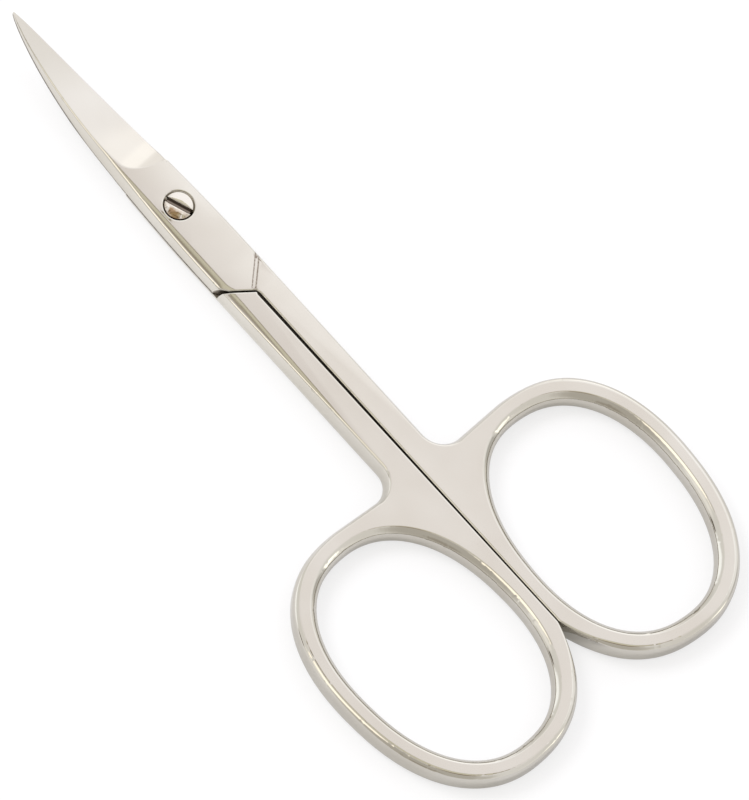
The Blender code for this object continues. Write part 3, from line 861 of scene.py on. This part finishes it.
def front(x, y):
    """Height of the front face."""
    level = crowned(x, y)
    facet = facet_drop(lap_crease(y) - x) if y > -V_DEPTH else -STOCK
    drop = rounded_max(rounded_max(level, level + facet), grind_drop(x, y))
    return STOCK - rounded_max(drop, level + groove_drop(x, y))


def back(x, y):
    """Height of the back face."""
    level = crowned(x, y)
    if y < -V_DEPTH - FACET_RUN:
        return level
    return rounded_max(level, level + facet_drop(x - shank_crease(y)))


def parting(x, y):
    """Height of the lap's underside."""
    return PARTING


print("front at the groove", round(front(*GROOVE_ORIGIN) / MM, 3), "mm")

# %% [markdown]
# ## Filling a face
#
# A face is filled with triangles between its edge loops. Lines of points follow each crease, so
# the softened edge gets its own rows and the flats beside it stay truly flat. The bent stretch
# of the blade gets a close net of points, because it is bent up later.

# %% Which points and triangles lie inside a face
CLEAR = 0.02 * MM  # how far a point keeps from a rim


def clear_points(points, rims):
    """Which points lie inside the outer rim, outside the holes and clear of both."""
    spots = np.array(points)
    starts = np.array([v.co.xy for rim in rims for v in rim])
    ends = np.array([v.co.xy for rim in rims for v in rim[1:] + rim[:1]])
    inside = np.zeros(len(spots), bool)
    near = np.full(len(spots), np.inf)
    for a, b in zip(starts, ends):
        crosses = (a[1] > spots[:, 1]) != (b[1] > spots[:, 1])
        with np.errstate(divide="ignore", invalid="ignore"):
            x = a[0] + (spots[:, 1] - a[1]) * (b[0] - a[0]) / (b[1] - a[1])
        inside ^= crosses & (spots[:, 0] < x)
        along = b - a
        share = np.clip(((spots - a) @ along) / max(along @ along, 1e-18), 0.0, 1.0)
        near = np.minimum(near, np.linalg.norm(spots - a - share[:, None] * along, axis=1))
    return inside & (near > CLEAR)


def reached_from(start, faces, owners, fences):
    """Which triangles can be reached from one of them without crossing a rim."""
    sides = [[frozenset((owners[f[i - 1]], owners[f[i]])) for i in range(3)] for f in faces]
    sharing = collections.defaultdict(list)
    for n, around in enumerate(sides):
        for side in around:
            if side not in fences:
                sharing[side].append(n)
    reached = {start}
    ahead = [start]
    while ahead:
        for side in sides[ahead.pop()]:
            for n in sharing[side]:
                if n not in reached:
                    reached.add(n)
                    ahead.append(n)
    return sorted(reached)


# %% Filling between the rims
WELD = 1e-4  # in mm, as the triangulation works in mm


def fill_face(body, rims, lines, height, finish):
    """Fills a face with triangles between its rims, with lines of points on its creases."""
    verts = [v for rim in rims for v in rim]
    places = [v.co.xy for v in verts]
    edges = []
    for rim in rims:
        first = len(edges)
        edges += [(first + i, first + (i + 1) % len(rim)) for i in range(len(rim))]
    fences = {frozenset(edge) for edge in edges}
    kept = iter(clear_points([p for line in lines for p in line], rims))
    for line in lines:
        last = None
        for p in line:
            if not next(kept):
                last = None
                continue
            if last is not None:
                edges.append((last, len(places)))
            last = len(places)
            places.append(Vector(p))
    scaled = [p / MM for p in places]
    found, _, faces, origins, _, _ = delaunay_2d_cdt(scaled, edges, [], 0, WELD)
    owners = [next((o for o in origin if o < len(verts)), -1 - i)
              for i, origin in enumerate(origins)]
    ready = []
    for place, owner in zip(found, owners):
        x, y = place * MM
        ready.append(verts[owner] if owner >= 0 else body.verts.new((x, y, height(x, y))))
    centres = [sum((found[i] for i in f), Vector((0.0, 0.0))) * MM / 3.0 for f in faces]
    start = int(np.argmax(clear_points(centres, rims)))
    for n in reached_from(start, faces, owners, fences):
        body.faces.new([ready[i] for i in faces[n]]).material_index = finish


# %% Lines and nets of points
LINE_STEP = 0.12 * MM
FACET_ROWS = (-1.4, -1.0, -0.6, -0.3, 0.0, 0.3, 0.6, 1.0)  # in widths of the facet's blend
FACET_BLEND = SOFTENED * FACET_WIDTH / FACET_DROP
RUN_OUT_ROWS = (-2.4, -1.2, -0.5, 0.0, 0.5, 1.2, 2.4, 4.5, 8.0)  # in widths of its blend
RUN_OUT_BLEND = 0.04 * MM
RUN_OUT_LEFT = -3.2 * MM
RUN_OUT_LENGTH = 6.2 * MM
RUN_OUT_STEPS = 80
GROOVE_ROWS = (0.2, 0.45, 0.58, 0.66, 0.74, 0.86, 0.96, 1.04, 1.25)  # in its half widths
GROOVE_LENGTH = 6.0 * MM
GROOVE_STEPS = 60
NET_SIDE = 3.4 * MM


def beside(points, offset):
    """A line of points shifted sideways."""
    shifted = []
    for i, p in enumerate(points):
        along = (points[min(i + 1, len(points) - 1)] - points[max(i - 1, 0)]).normalized()
        shifted.append(p + Vector((-along.y, along.x)) * offset)
    return shifted


def facet_lines(crease, low, high):
    """Rows along a facet's crease."""
    steps = max(2, int((high - low) / LINE_STEP))
    ys = [low + (high - low) * i / steps for i in range(steps + 1)]
    line = [Vector((crease(y), y)) for y in ys]
    return [beside(line, row * FACET_BLEND) for row in FACET_ROWS]


def run_out_lines():
    """Rows along the upper end of the ground face."""
    xs = [RUN_OUT_LEFT + RUN_OUT_LENGTH * i / RUN_OUT_STEPS for i in range(RUN_OUT_STEPS + 1)]
    line = [Vector((x, run_out(x))) for x in xs]
    return [beside(line, row * RUN_OUT_BLEND) for row in RUN_OUT_ROWS]


def groove_lines():
    """Rows along the scribed groove."""
    runs = [-GROOVE_WIDTH + GROOVE_LENGTH * i / GROOVE_STEPS for i in range(GROOVE_STEPS + 1)]
    line = [GROOVE_ORIGIN + GROOVE_ALONG * run for run in runs]
    rows = [-row for row in GROOVE_ROWS[::-1]] + [0.0] + list(GROOVE_ROWS)
    return [beside(line, row * 0.5 * GROOVE_WIDTH) for row in rows]


def net(low, high, step):
    """Single points in a close net over the blade."""
    points = []
    for j in range(int((high - low) / step) + 1):
        left = -NET_SIDE + 0.5 * step * (j % 2)
        across = range(int(2.0 * NET_SIDE / step) + 1)
        points += [[Vector((left + step * i, low + step * j))] for i in across]
    return points


print("groove:", len(groove_lines()), "lines, run-out:", len(run_out_lines()))

# %% [markdown]
# ## The flat forging
#
# Now the pieces come together: outer wall and finger opening, both faces, the half-thick lap
# with its shoulder, and the hole for the screw. The upper half's hole has a seat for the
# screw's head, and the lower half is the same forging with a plain hole, turned over.

# %% Screw hole
SCREW_DIAMETER = 1.8 * MM
SCREW_CLEARANCE = 0.05 * MM
HEAD_DIAMETER = 2.86 * MM
HEAD_GAP = 0.16 * MM  # round the screw's head
HEAD_LAND = 0.12 * MM  # straight wall above the cone
HOLE_SOFT = 0.04 * MM
HOLE_STEPS = 96


def seat_height(radius):
    """Height of the seat's cone, which opens at a right angle, at a radius."""
    return STOCK - HEAD_LAND - (0.5 * HEAD_DIAMETER + HEAD_GAP - radius)


def hole_profile(seated):
    """Radius and height down the screw hole, from the front face to the lap's underside."""
    bore = 0.5 * SCREW_DIAMETER + SCREW_CLEARANCE
    rim = 0.5 * HEAD_DIAMETER + HEAD_GAP if seated else bore
    profile = [(rim + 3.0 * HOLE_SOFT, STOCK), (rim + HOLE_SOFT, STOCK),
               (rim + 0.3 * HOLE_SOFT, STOCK - 0.3 * HOLE_SOFT), (rim, STOCK - HOLE_SOFT)]
    if seated:
        profile += [(rim, seat_height(rim)), (bore, seat_height(bore))]
    return profile + [(bore, PARTING)]


def bored_hole(body, seated):
    """Builds the hole's wall and gives its upper and lower rim."""
    angles = [2.0 * math.pi * i / HOLE_STEPS for i in range(HOLE_STEPS)]
    rings = [[body.verts.new((radius * math.cos(a), radius * math.sin(a), z)) for a in angles]
             for radius, z in hole_profile(seated)]
    for upper, lower in zip(rings, rings[1:]):
        for i in range(HOLE_STEPS):
            face = body.faces.new((upper[i - 1], upper[i], lower[i], lower[i - 1]))
            face.material_index = WALL
    return rings[0], rings[-1]


print("seat", round(seat_height(0.5 * SCREW_DIAMETER) / MM, 2), "mm above the back")

# %% Outline and shoulder
LAP_SPOT = 0.8 * MM - FACE_EDGE
FINE_SPOTS = (  # x, y and reach of the places where a feature runs over the outline
    (LAP_SPOT, ARM_START - ARM_RISE_SHARE * LAP_SPOT, 1.0 * MM),  # end of the lap
    (3.0 * MM, GROOVE_ORIGIN.y + GROOVE_RISE_SHARE * 2.75 * MM, 0.6 * MM),  # end of the groove
    (-FACE_EDGE - 0.3 * MM, 8.0 * MM, 1.4 * MM),  # upper end of the ground face
)
FINE_STEP = 0.07 * MM
SHOULDER_CLEAR = 0.35 * MM
SHOULDER_STEPS = 36


def refined(stations, crossing):
    """Splits the outline's stretches near the fine spots."""
    fine = []
    for i, here in enumerate(stations):
        if i == crossing:
            new_crossing = len(fine)
        fine.append(here)
        there = stations[(i + 1) % len(stations)]
        start = Vector((here.x, here.y))
        end = Vector((there.x, there.y))
        parts = max(1, math.ceil((end - start).length / FINE_STEP))
        for k in range(1, parts):
            point = start.lerp(end, k / parts)
            if any((point - Vector((x, y))).length < reach for x, y, reach in FINE_SPOTS):
                rise = 0.0 if here.finish == BARE else (there.bow - here.bow) * k / parts
                fine.append(here._replace(x=point.x, y=point.y, bow=here.bow + rise))
    return fine, new_crossing


def shoulder_columns(start, end):
    """Columns along the shoulder, from its outer end back to its point, clear of both."""
    clear = SHOULDER_CLEAR / (end.place - start.place).length
    columns = []
    for i in range(SHOULDER_STEPS + 1):
        share = 1.0 - clear - (1.0 - 2.0 * clear) * i / SHOULDER_STEPS
        columns.append(Column(start.place.lerp(end.place, share), end.shift * share, BOW_POWER,
                              JOINT_ROUND, STOCK, BARE))
    return columns


print("refined:", len(refined(*half_stations())[0]), "stations")

# %% The forging itself
BLADE_NET = (2.2 * MM, BLADE_REACH, 0.33 * MM)  # from, to and step along the blade
LAP_NET = (7.0 * MM, BLADE_REACH, 0.5 * MM)
LAP_FACET = (-V_DEPTH, 20.0 * MM)  # from and to
SHANK_FACET = (-V_DEPTH - 0.9 * FACET_RUN, -8.0 * MM)


def parting_row(body, places):
    """Vertices at the parting's height."""
    return [body.verts.new((*place, PARTING)) for place in places]


def flat_half(seated):
    """One forging, flat, ring to the right."""
    body = bmesh.new()
    stations, crossing = refined(*half_stations())
    outer = wall_columns(stations)
    corner = outer[crossing]._replace(shift=Vector((-JOINT_BOW, -ARM_RISE_SHARE * JOINT_BOW)))
    outer[crossing] = corner
    base = parting_row(body, [on_wall(c, PARTING) for c in outer])
    front_rim = raise_wall(body, base, outer, front, 1)

    across = shoulder_columns(outer[0], corner)
    shoulder = parting_row(body, [c.place for c in across])
    below = outer[:crossing] + [corner._replace(finish=BARE)] + across
    back_rim = raise_wall(body, base[:crossing + 1] + shoulder, below, back, -1)

    opening = wall_columns(opening_stations())
    open_base = parting_row(body, [on_wall(c, PARTING) for c in opening])
    open_rims = [raise_wall(body, open_base, opening, face, way)
                 for face, way in ((front, 1), (back, -1))]
    upper_hole, lower_hole = bored_hole(body, seated)

    lines = facet_lines(lap_crease, *LAP_FACET) + run_out_lines() + groove_lines()
    fill_face(body, [front_rim, open_rims[0], upper_hole], lines + net(*BLADE_NET), front, PLATE)
    fill_face(body, [back_rim, open_rims[1]], facet_lines(shank_crease, *SHANK_FACET), back, PLATE)
    lap_rim = base[crossing:] + base[:1] + shoulder[::-1]
    fill_face(body, [lap_rim, lower_hole], net(*LAP_NET), parting, BARE)
    return body


# %% [markdown]
# ## Bending the blades up
#
# After grinding, both blades are bent up together over one die. The rule is simple: beyond a
# certain distance from the screw's axis, a point rises by the arc of a circle. Because the rise
# depends only on the distance from the axis, the blades still slide over each other at every
# opening. A rule that moves every point alike is what Geometry Nodes do well.

# %% Helpers for geometry trees
SHADING_CORNER = math.radians(30.0)


def new_tree(name, inputs):
    """A geometry tree with named inputs and one geometry output."""
    tree = bpy.data.node_groups.new(name, "GeometryNodeTree")
    tree.interface.new_socket("Geometry", in_out="OUTPUT", socket_type="NodeSocketGeometry")
    for label, kind in inputs.items():
        tree.interface.new_socket(label, in_out="INPUT", socket_type="NodeSocket" + kind)
    return tree, tree.nodes.new("NodeGroupInput").outputs


def apply_tree(piece, tree, values):
    """Runs a tree on a piece with given inputs and keeps the result as its plain mesh."""
    modifier = piece.modifiers.new(tree.name, "NODES")
    modifier.node_group = tree
    sockets = {s.name: s.identifier for s in tree.interface.items_tree if s.in_out == "INPUT"}
    for label, value in values.items():
        modifier[sockets[label]] = value
    bpy.context.view_layer.update()
    evaluated = piece.evaluated_get(bpy.context.evaluated_depsgraph_get())
    mesh = bpy.data.meshes.new_from_object(evaluated)
    piece.modifiers.clear()
    piece.data = mesh
    mesh.name = piece.name
    while mesh.materials and mesh.materials[0] is None:
        mesh.materials.pop(index=0)


def write_outward(body, mesh):
    """Turns a body's faces outward and writes it to a mesh."""
    bmesh.ops.recalc_face_normals(body, faces=body.faces)
    open_edges = sum(1 for e in body.edges if len(e.link_faces) != 2)
    print(mesh.name, len(body.faces), "faces,", open_edges, "open edges")
    body.to_mesh(mesh)
    body.free()


def face_outward(mesh):
    """Turns a mesh's own faces outward."""
    body = bmesh.new()
    body.from_mesh(mesh)
    write_outward(body, mesh)


def shade(mesh):
    """Smooth shading, with sharp corners."""
    mesh.shade_smooth()
    mesh.set_sharp_from_angle(angle=SHADING_CORNER)


# %% Node tree for the bend
BEND_START = 9.0 * MM  # from the screw's axis
BEND_RADIUS = 41.0 * MM

tree, given = new_tree("bend_up", {"Geometry": "Geometry", "Start": "Float", "Radius": "Float",
                                   "Plate": "Material", "Wall": "Material", "Bare": "Material"})
here = add_node(tree, "GeometryNodeInputPosition")
split = add_node(tree, "ShaderNodeSeparateXYZ", i0=here).outputs
flat = add_node(tree, "ShaderNodeCombineXYZ", X=split[0], Y=split[1])
away = add_node(tree, "ShaderNodeVectorMath", {"operation": "LENGTH"}, i0=flat)
past = add_node(tree, "ShaderNodeMath", {"operation": "SUBTRACT"}, i0=away, i1=given["Start"])
past = add_node(tree, "ShaderNodeMath", {"operation": "MAXIMUM"}, i0=past, i1=0.0)
blade = add_node(tree, "ShaderNodeMath", {"operation": "GREATER_THAN"}, i0=split[1], i1=0.0)
run = add_node(tree, "ShaderNodeMath", TIMES, i0=past, i1=blade)
squared = add_node(tree, "ShaderNodeMath", TIMES, i0=run, i1=run)
radius2 = add_node(tree, "ShaderNodeMath", TIMES, i0=given["Radius"], i1=given["Radius"])
inner = add_node(tree, "ShaderNodeMath", {"operation": "SUBTRACT"}, i0=radius2, i1=squared)
root = add_node(tree, "ShaderNodeMath", {"operation": "SQRT"}, i0=inner)
rise = add_node(tree, "ShaderNodeMath", {"operation": "SUBTRACT"}, i0=given["Radius"], i1=root)
lift = add_node(tree, "ShaderNodeCombineXYZ", Z=rise)
shape = add_node(tree, "GeometryNodeSetPosition", Geometry=given["Geometry"], Offset=lift)
shape = add_node(tree, "GeometryNodeRealizeInstances", Geometry=shape)
tag = add_node(tree, "GeometryNodeInputNamedAttribute", {"data_type": "INT"}, Name="finish")
for index, label in enumerate(("Plate", "Wall", "Bare")):
    alike = add_node(tree, "FunctionNodeCompare", {"data_type": "INT", "operation": "EQUAL"},
                     i2=tag, i3=index)
    shape = add_node(tree, "GeometryNodeSetMaterial", Geometry=shape, Selection=alike,
                     Material=given[label])
add_node(tree, "NodeGroupOutput", Geometry=shape)
bend_tree = tree
print("bend tree:", len(tree.nodes), "nodes")

# %% [markdown]
# ## Where shade is painted
#
# Shade is painted dark in the groove's corners and at its notches, in the seam between the laps,
# and in the corner under the step at the lap's end. Each point of the forging gets two numbers
# for that, which the finishes read as attributes.

# %% Painted shade in the joint and in the groove
FRONT_ZONE = 0.3 * MM  # depth of the front, below which the walls begin
GROOVE_SHADE_WIDTH = 0.10 * MM  # beside the groove's lower corners
STEP_SIZE = 0.3 * MM  # it fades over this beside the step's corner
SEAM_HEIGHT = 0.18 * MM  # how far the painted shade reaches up the walls from the seam between the laps
FULL = 1.4  # more than 1, so that a corner's or notch's middle is wholly dark
NOTCH_SIZE = 0.16 * MM
GROOVE_ACROSS = Vector((-GROOVE_ALONG.y, GROOVE_ALONG.x))
NOTCHES = (GROOVE_ALONG * 3.42 * MM + GROOVE_ACROSS * 0.16 * MM,
           GROOVE_ALONG * 3.32 * MM + GROOVE_ACROSS * 0.06 * MM, GROOVE_ACROSS * -0.16 * MM)


def in_corner(place):
    """How much shade is painted at a place of the flat forging, along the step at the lap's end."""
    if place.x > 0.0 or place.z > STOCK - FRONT_ZONE:
        return 0.0
    away = place.y - ARM_START + ARM_RISE_SHARE * place.x
    return clamped(FULL - abs(away) / STEP_SIZE)


def in_groove(place):
    """How much shade is painted along the groove's lower corners and at its notches."""
    away = place.xy - GROOVE_ORIGIN
    foot = 0.5 * GROOVE_WIDTH - 0.6 * GROOVE_SIDE
    beside_foot = abs(abs(away.dot(GROOVE_ACROSS)) - foot)
    spots = [1.0 - beside_foot / GROOVE_SHADE_WIDTH if away.dot(GROOVE_ALONG) > 0.0 else 0.0]
    return clamped(max(spots + [FULL - (away - spot).length / NOTCH_SIZE for spot in NOTCHES]))


def residue(place):
    """How much shade is painted in the groove, or else in that corner and in the seam between the
    laps.
    """
    if place.z >= STOCK - FRONT_ZONE:
        return in_groove(place)
    by_seam = place.x < 0.0 and place.y > -V_DEPTH
    seam = max(0.0, 1.0 - abs(place.z - PARTING) / SEAM_HEIGHT) ** 0.5 if by_seam else 0.0
    return max(seam, in_corner(place))


# %% Both halves
TURN_OVER = Matrix.Translation((0.0, 0.0, STOCK)) @ Matrix.Rotation(math.pi, 4, "Y")


def forged_half(name, seated, turn):
    """A finished half: the flat forging, turned and bent."""
    mesh = bpy.data.meshes.new(name)
    write_outward(flat_half(seated), mesh)
    tags = np.zeros(len(mesh.polygons), np.int32)
    mesh.polygons.foreach_get("material_index", tags)
    mesh.attributes.new("finish", "INT", "FACE").data.foreach_set("value", tags)
    mesh.polygons.foreach_set("material_index", np.zeros(len(tags), np.int32))
    # per point: painted shade for the plate, and painted shade in the step's corner for the bare
    # steel
    for attribute, amount in (("residue", residue), ("corner", in_corner)):
        kept = [amount(v.co) for v in mesh.vertices]
        mesh.attributes.new(attribute, "FLOAT", "POINT").data.foreach_set("value", kept)
    mesh.transform(turn)
    piece = in_scene(name, mesh)
    apply_tree(piece, bend_tree, {"Start": BEND_START, "Radius": BEND_RADIUS,
                                  "Plate": plate_finish, "Wall": wall_finish, "Bare": bare_finish})
    shade(piece.data)
    return piece


upper = forged_half("upper_forging", True, Matrix())
lower = forged_half("lower_forging", False, TURN_OVER)

# %% [markdown]
# ## The pivot screw
#
# The screw is turned on a lathe: a slightly domed head on a cone, and a shank whose end is
# dressed flush with the back. A tree spins its profile round the axis and saws the slot. The
# saw has the section of a worn slot, whose upper edges are rounded.

# %% Profile of the screw
HEAD_DOME = 0.14 * MM
HEAD_SOFT = 0.07 * MM
SCREW_END_CHAMFER = 0.12 * MM
DOME_STEPS = 9
SOFT_STEPS = 4


def screw_profile():
    """Radius and height down the outside of the screw."""
    head = 0.5 * HEAD_DIAMETER
    shank = 0.5 * SCREW_DIAMETER
    dome_radius = (head * head + HEAD_DOME * HEAD_DOME) / (2.0 * HEAD_DOME)
    face = head - HEAD_SOFT
    profile = []
    for i in range(DOME_STEPS + 1):
        x = face * i / DOME_STEPS
        profile.append((x, STOCK + HEAD_DOME - dome_radius + math.sqrt(dome_radius ** 2 - x * x)))
    rim = profile[-1][1]
    for i in range(1, SOFT_STEPS + 1):
        angle = 0.5 * math.pi / SOFT_STEPS * i
        drop = HEAD_SOFT * (1.0 - math.cos(angle))
        profile.append((face + HEAD_SOFT * math.sin(angle), rim - drop))
    return profile + [
        (head, seat_height(head) + SCREW_CLEARANCE), (shank, seat_height(shank) + SCREW_CLEARANCE),
        (shank, SCREW_END_CHAMFER), (shank - SCREW_END_CHAMFER, 0.0), (0.0, 0.0)]


profile = screw_profile()
mesh = bpy.data.meshes.new("pivot_screw_turned")
lines = [(i, i + 1) for i in range(len(profile) - 1)]
mesh.from_pydata([(r, 0.0, z) for r, z in profile], lines, [])
screw = in_scene("pivot_screw_turned", mesh)
print("screw profile:", len(profile), "points")

# %% Saw for the slot
SLOT_WIDTH = 0.48 * MM
SLOT_DEPTH = 0.52 * MM
SLOT_LIP = 0.22 * MM  # round of the slot's worn upper edges
SLOT_LIP_END = math.radians(68.0)
SLOT_LIP_STEPS = 12
LIP_BELOW_TOP = 0.06 * MM
SAW_SPREAD = 1.0 * MM
SAW_TOP = 3.0 * MM


def saw_profile():
    """Right half of the saw's section, from the slot's floor up: across, and height."""
    top = STOCK + HEAD_DOME
    half = 0.5 * SLOT_WIDTH
    low = top - LIP_BELOW_TOP - SLOT_LIP * math.sin(SLOT_LIP_END)
    section = [(half, top - SLOT_DEPTH)]
    for i in range(SLOT_LIP_STEPS + 1):
        angle = SLOT_LIP_END * i / SLOT_LIP_STEPS
        away = SLOT_LIP * (1.0 - math.cos(angle))
        section.append((half + away, low + SLOT_LIP * math.sin(angle)))
    x, z = section[-1]
    section.append((x + SAW_SPREAD, z + SAW_SPREAD / math.tan(SLOT_LIP_END)))
    return section + [(section[-1][0], STOCK + SAW_TOP)]


right = saw_profile()
section = [(-x, z) for x, z in right] + right[::-1]
count = len(section)
ends = [(x, side * HEAD_DIAMETER, z) for side in (-1.0, 1.0) for x, z in section]
sides = [(i, (i + 1) % count, count + (i + 1) % count, count + i) for i in range(count)]
sides += [tuple(range(count))[::-1], tuple(range(count, 2 * count))]
mesh = bpy.data.meshes.new("saw")
mesh.from_pydata(ends, [], sides)
face_outward(mesh)
saw = in_scene("saw", mesh)

# %% Node tree for a turned, slotted screw
WELDED = 0.0001 * MM

tree, given = new_tree("turned_screw", {"Geometry": "Geometry", "Steps": "Int", "Rows": "Int",
                                        "Saw": "Object", "Slot turn": "Float",
                                        "Finish": "Material"})
grid = add_node(tree, "GeometryNodeMeshGrid", Size_X=1.0, Size_Y=1.0, Vertices_X=given["Steps"],
                Vertices_Y=given["Rows"])
here = add_node(tree, "GeometryNodeInputPosition")
split = add_node(tree, "ShaderNodeSeparateXYZ", i0=here).outputs
angle = add_node(tree, "ShaderNodeMath", TIMES, i0=split[0], i1=2.0 * math.pi)
down = add_node(tree, "ShaderNodeMath", {"operation": "ADD"}, i0=split[1], i1=0.5)
last = add_node(tree, "ShaderNodeMath", {"operation": "SUBTRACT"}, i0=given["Rows"], i1=1.0)
row = add_node(tree, "ShaderNodeMath", TIMES, i0=down, i1=last)
row = add_node(tree, "ShaderNodeMath", {"operation": "ROUND"}, i0=row)
drawn = add_node(tree, "GeometryNodeSampleIndex", {"data_type": "FLOAT_VECTOR"},
                 Geometry=given["Geometry"], Value=here, Index=row)
drawn = add_node(tree, "ShaderNodeSeparateXYZ", i0=drawn).outputs
cosine = add_node(tree, "ShaderNodeMath", {"operation": "COSINE"}, i0=angle)
sine = add_node(tree, "ShaderNodeMath", {"operation": "SINE"}, i0=angle)
x = add_node(tree, "ShaderNodeMath", TIMES, i0=cosine, i1=drawn[0])
y = add_node(tree, "ShaderNodeMath", TIMES, i0=sine, i1=drawn[0])
spun = add_node(tree, "ShaderNodeCombineXYZ", X=x, Y=y, Z=drawn[2])
shape = add_node(tree, "GeometryNodeSetPosition", Geometry=grid, Position=spun)
shape = add_node(tree, "GeometryNodeMergeByDistance", Geometry=shape, Distance=WELDED)
cutter = add_node(tree, "GeometryNodeObjectInfo", {"transform_space": "ORIGINAL"},
                  Object=given["Saw"]).outputs["Geometry"]
turned = add_node(tree, "ShaderNodeCombineXYZ", Z=given["Slot turn"])
cutter = add_node(tree, "GeometryNodeTransform", Geometry=cutter, Rotation=turned)
shape = add_node(tree, "GeometryNodeMeshBoolean", {"operation": "DIFFERENCE", "solver": "EXACT"},
                 i0=shape, i1=cutter)
shape = add_node(tree, "GeometryNodeRealizeInstances", Geometry=shape)
shape = add_node(tree, "GeometryNodeSetMaterial", Geometry=shape, Material=given["Finish"])
add_node(tree, "NodeGroupOutput", Geometry=shape)
print("screw tree:", len(tree.nodes), "nodes")

# %% The screw
SLOT_TURN = math.radians(21.0)
SCREW_STEPS = 96

apply_tree(screw, tree, {"Steps": SCREW_STEPS + 1, "Rows": len(profile), "Saw": saw,
                         "Slot turn": SLOT_TURN, "Finish": screw_finish})
bpy.data.objects.remove(saw)
face_outward(screw.data)
shade(screw.data)

# %% [markdown]
# ## Putting the pair together
#
# Each dressed piece rides on the body of the solid that it replaces. The screw is turned into
# the lower half, so it rides with that one, and the upper half turns on it.

# %% Bodies
for piece, node, ridden, slot in ((upper, "upper_half", "upper_body", "nickel_plate"),
                                  (lower, "lower_half", "lower_body", "nickel_plate"),
                                  (screw, "pivot_screw", "lower_body", "screw_steel")):
    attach(piece, ridden)
    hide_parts(node)
    print(piece.name, len(piece.data.polygons), "faces", [m.name for m in piece.data.materials])

# %% End
bpy.context.scene.view_settings.view_transform = "Standard"
